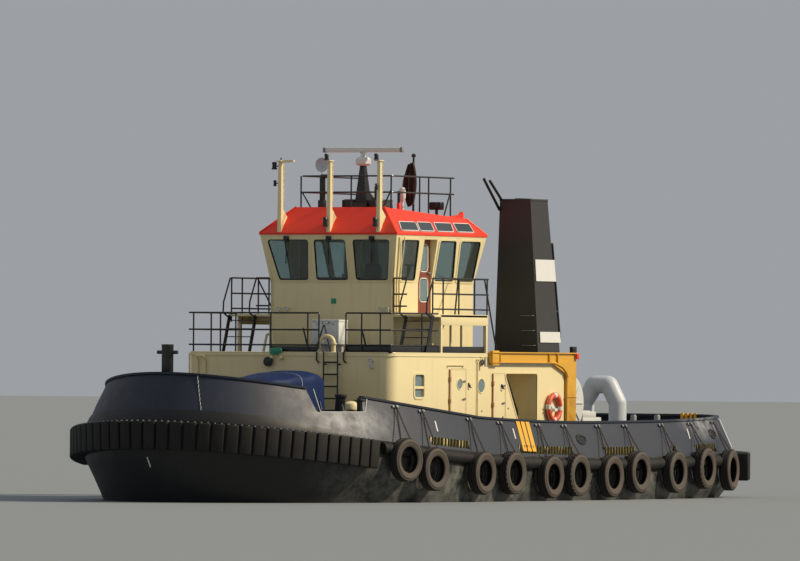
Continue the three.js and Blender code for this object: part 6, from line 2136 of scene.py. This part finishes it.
def strap_path(x):
    """The way of a strap over the cover from one hem to the other."""
    half = dinghy_at(x)[0]
    along = walked[min(range(73), key=lambda i: abs(port_edge[i] - x))]
    halves = [[cover_point(x, side * half, along, k) for k in range(COVER_ROWS + 1)] for side in (1.0, -1.0)]
    return halves[0][::-1] + halves[1][1:]


def cover_straps(shape):
    for x in (8.41, 10.05):
        path = strap_path(x)
        loops = []
        for i, point in enumerate(path):
            tangent = (path[min(i + 1, len(path) - 1)] - path[max(i - 1, 0)]).normalized()
            outward = Vector((1, 0, 0)).cross(tangent).normalized()
            if outward.dot(point - Vector((x, DINGHY_Y, 2.4))) < 0:
                outward = -outward
            loops.append([point + Vector((across, 0, 0)) + outward * lift
                          for across, lift in ((-0.011, 0.0), (0.011, 0.0), (0.011, 0.007), (-0.011, 0.007))])
        lofted(shape, loops)


faded_webbing = marine_paint("faded grey webbing", 0x9CA4B0, 0x848C98, 0.8, streak=0.2, ripple=0.0)
straps = piece("cover_straps", cover_straps, faded_webbing, "white_paint")

# The wheelhouse fittings inside: a moulded console with two screens, levers and a small wheel, a helm
# chair with stuffed pads on a steel pedestal, and a studded floor.
console_plastic = marine_paint("dark grey moulded console", 0x2C2E30, 0x36383A, 0.5, streak=0.05, ripple=0.0,
                               grime=0x2A2C2E)
paint_node("steering_console", console_plastic)
paint_node("wheelhouse_floor", marine_paint("brown studded floor covering", 0x3A332C, 0x463E35, 0.7,
                                            streak=0.1, ripple=0.0))


def console_face(y):
    """The sloping top of the console as a flat place that faces the helm."""
    return Matrix.Translation((3.125, y, 5.515)) @ Matrix.Rotation(-0.361, 4, "Y")


def screens(shape):
    for y in (-0.5, 0.5):
        block_in(shape, console_face(y), (-0.15, -0.19, -0.005), (0.15, 0.19, 0.02))


def screen_frames(shape):
    for y in (-0.5, 0.5):
        block_in(shape, console_face(y), (-0.18, -0.22, -0.01), (0.18, 0.22, 0.012))
    for y in (-0.14, 0.14):
        block_in(shape, console_face(y), (-0.1, -0.04, -0.005), (0.12, 0.04, 0.04), 0.012)
        block_in(shape, console_face(y), (-0.01, -0.012, 0.03), (0.015, 0.012, 0.14), 0.005)
        block_in(shape, console_face(y), (-0.03, -0.03, 0.13), (0.035, 0.03, 0.17), 0.014)
    for i in range(8):
        block_in(shape, console_face(-0.84 + 0.24 * i), (-0.21, -0.02, -0.003), (-0.185, 0.02, 0.008), 0.003)


piece("console_screens", screens, dark_glass, "window_glass")
piece("console_gear", screen_frames, black_enamel, "black_paint")
wheel_hub = Vector((2.8, 0.0, 5.22))


def on_rim(turn):
    """A point on the rim of the steering wheel."""
    return wheel_hub + Vector((0, 0.19 * math.cos(turn), 0.19 * math.sin(turn)))


wheel_lines = [[on_rim(2 * math.pi * i / 32) for i in range(33)],
               [wheel_hub, wheel_hub + Vector((0.14, 0, 0))]]
wheel_lines += [[wheel_hub, on_rim(t)] for t in (0.5, 2.6, 4.7)]
tubes("console_wheel", wheel_lines, 0.014, black_enamel, "console_plastic", bend=0.0)


def chair_frame(shape):
    lathe(shape, [(CORE, 0.0), (0.24, 0.0), (0.24, 0.02), (0.08, 0.05), (0.055, 0.08), (0.055, 0.42),
                  (CORE, 0.42)], upright(2.1, 0.0, 4.665), 28)
    block(shape, (1.86, -0.22, 5.08), (2.34, 0.22, 5.12), 0.01)
    block(shape, (1.69, -0.2, 5.1), (1.73, 0.2, 5.92), 0.012)
    block(shape, (1.69, -0.06, 5.06), (1.95, 0.06, 5.12), 0.01)


chair = piece("chair_frame", chair_frame, black_enamel, "black_paint")
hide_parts("helm_chair")
leatherette = marine_paint("black grained leatherette", 0x17181A, 0x202224, 0.5, streak=0.0, ripple=0.0,
                           coat=0.2)


def cushion(name, place, half_wide, half_deep, thick):
    """A stuffed pad: fullest in the middle and drawn in a little between the stitches of its seam."""
    corners = [place @ Vector((0, 0, -thick / 2))]
    faces = []
    around, rings = 64, 13
    for k in range(1, rings):
        turn = math.pi * k / rings
        reach = math.sin(turn) ** 0.3
        rise = -math.copysign(abs(math.cos(turn)) ** 0.6, math.cos(turn)) * thick / 2
        for i in range(around):
            t = 2 * math.pi * i / around
            drawn_in = 1.0 - 0.012 * reach ** 8 * (1 + math.cos(32 * t)) / 2
            x = math.copysign(abs(math.cos(t)) ** 0.38, math.cos(t)) * half_wide * reach * drawn_in
            y = math.copysign(abs(math.sin(t)) ** 0.38, math.sin(t)) * half_deep * reach * drawn_in
            corners.append(place @ Vector((x, y, rise)))
    corners.append(place @ Vector((0, 0, thick / 2)))
    for i in range(around):
        j = (i + 1) % around
        faces.append((0, 1 + j, 1 + i))
        faces.append((len(corners) - 1, len(corners) - 1 - around + i, len(corners) - 1 - around + j))
        faces += [(1 + k * around + i, 1 + k * around + j, 1 + (k + 1) * around + j, 1 + (k + 1) * around + i)
                  for k in range(rings - 2)]
    pad = drawn(name, corners, faces, leatherette, "black_paint", crease=math.pi)


cushion("chair_seat_pad", Matrix.Translation((2.1, 0.0, 5.18)), 0.26, 0.25, 0.13)
cushion("chair_back_pad", Matrix.Translation((1.79, 0.0, 5.6)) @ Matrix.Rotation(math.pi / 2 - 0.06, 4, "Y"),
        0.37, 0.25, 0.12)

# The gear below water. Bronze propellers turn in steel nozzles; nozzles, rudders and shaft struts carry
# the same antifouling as the hull, with bare zinc blocks bolted to the nozzles.
bronze, tree, noise, dulled = mottled("cast propeller bronze", 7.0, 6.0, 0x8A6A32, 0xB89A58)
rubbed = put(tree, "ShaderNodeMapRange", {"Value": noise, "To Min": 0.22, "To Max": 0.5})
metal = put(tree, "ShaderNodeBsdfPrincipled", {"Base Color": dulled, "Metallic": 0.9,
                                               "Roughness": rubbed.outputs[0]})
put(tree, "ShaderNodeOutputMaterial", {"Surface": metal.outputs[0]})
zinc = marine_paint("bare zinc anode", 0x8E9294, 0x7A7C7C, 0.6, streak=0.3, ripple=0.0)
for side, sign in SIDES:
    paint_node(f"propeller_{side}", bronze)
    for part in ("nozzle", "rudder", "shaft"):
        paint_node(f"{part}_{side}", antifouling)

    def anodes(shape):
        for x in (-8.95, -8.6):
            for turn in (0.6, math.pi - 0.6):
                place = (Matrix.Translation((x - 0.65, RUDDER_OUT * sign, -1.95))
                         @ Matrix.Rotation(turn, 4, "X") @ Matrix.Translation((0, 1.2, 0)))
                block_in(shape, place, (-0.11, -0.02, -0.04), (0.11, 0.035, 0.04), 0.012)
    piece(f"nozzle_anodes_{side}", anodes, zinc, "grey_paint")

# Foredeck gear and marks. White edging on the bulwark's landing notch, a black bollard and a post
# beside it, a cream mushroom vent, a dashed white line by the bow and a short mark under its fender.
for side, sign in SIDES:
    def skin(x, z):
        return on_bulwark(x, z - sheer(x), sign).translation
    crest_fore = sheer(10.19) + rim_height(10.19)
    crest_aft = sheer(8.4) + rim_height(8.4)
    edge = [skin(8.42, crest_aft - 0.03), skin(8.65, 2.23)]
    edge += [skin(8.65 + 1.5 * i / 10, 2.23) for i in range(1, 11)] + [skin(10.19, crest_fore - 0.03)]
    tubes(f"notch_edging_{side}", [edge], 0.01, white_paint, "white_paint", bend=0.0, sides=6)

    def bollards(shape):
        leaning = (Matrix.Translation((8.0, 2.49 * sign, sheer(8.0) - 0.03))
                   @ Matrix.Rotation(math.pi / 2 - 0.09 * sign, 4, "X"))
        lathe(shape, [(CORE, 0.0), (0.2, 0.0), (0.2, 0.03), (0.125, 0.05), (0.125, 1.1), (0.15, 1.13),
                      (0.15, 1.18), (0.13, 1.2), (CORE, 1.2)], leaning, 28)
        block(shape, (8.43, 3.35 * sign, sheer(8.5)), (8.55, 3.47 * sign, 2.58), 0.01)
        block(shape, (8.38, 3.3 * sign, 2.5), (8.6, 3.52 * sign, 2.53), 0.006)
    piece(f"foredeck_bollards_{side}", bollards, cast_steel, "black_paint")

    def mushroom(shape):
        rise = 2.5 - sheer(7.0)
        lathe(shape, [(CORE, 0.0), (0.1, 0.0), (0.1, rise - 0.2), (0.2, rise - 0.2), (0.205, rise - 0.16),
                      (0.17, rise - 0.05), (0.1, rise), (CORE, rise + 0.015)],
              upright(7.0, 2.31 * sign, sheer(7.0) - 0.02), 28)
    piece(f"foredeck_vent_{side}", mushroom, cream_paint, "cream_paint")


def dashes(shape):
    for i in range(9):
        share = i / 8
        place = on_bulwark(12.66 - 0.06 * share, 1.06 - 0.84 * share)
        block_in(shape, place, (-0.006, -0.01, -0.05), (0.006, 0.012, 0.05), 0.002)


piece("bow_dashes", dashes, white_paint, "white_paint")
tubes("stem_mark", [[(12.83, -0.1, 1.1), (12.75, -0.05, 0.86)]], 0.016, white_paint, "white_paint",
      bend=0.0, sides=6)

# Stern gear. Round posts that keep the towrope off the deck gear, yellow stop plates on the after
# bulwark, a white bar up each stern corner that is a painted highlight, and a red lamp on the gantry's after
# post.
for side, sign in SIDES:
    def guide_posts(shape):
        for x in (-9.19, -10.52):
            rise = 2.17 - sheer(x)
            lathe(shape, [(CORE, 0.0), (0.14, 0.0), (0.14, 0.02), (0.08, 0.04), (0.08, rise - 0.04),
                          (0.06, rise), (CORE, rise)], upright(x, 1.7 * sign, sheer(x) - 0.02), 22)
    piece(f"stern_posts_{side}", guide_posts, grey_enamel, "grey_paint")

    def stops(shape):
        for i in range(4):
            y = 1.5 + 0.13 * i
            block(shape, (-12.36, y * sign - 0.04, 2.02), (-12.3, y * sign + 0.04, 2.19), 0.006)
    piece(f"stern_stops_{side}", stops, yellow_paint, "yellow_paint")

    def red_lamp(shape):
        block(shape, (-3.52, sign * 3.07, 3.58), (-3.4, sign * 3.11, 3.72), 0.01)
    piece(f"gantry_lamp_{side}", red_lamp, roof_red, "red_paint")
    tubes(f"wing_struts_{side}", [[(x, 2.36 * sign, DECK_TOP), (x, 2.36 * sign, 4.6)] for x in (1.98, 1.42)],
          0.03, cream_paint, "cream_paint", bend=0.0)

    def crate(shape):
        block(shape, (-3.42, sign * 2.98, 3.745), (-3.22, sign * 3.09, 3.9), 0.01)
    piece(f"gantry_box_{side}", crate, cast_steel, "black_paint")
    # The white bar up each stern corner is a painted highlight along the corner's edge
    turning = min((point for point in port_path if point[0] < 0), key=lambda point: abs(point[2] + 0.4848))
    corner_highlight_line = [on_bulwark(turning[0], rise, sign).translation for rise in (0.82, 0.5, 0.1)]
    tubes(f"stern_corner_bar_{side}", [corner_highlight_line], 0.022, white_paint, "white_paint", bend=0.0)
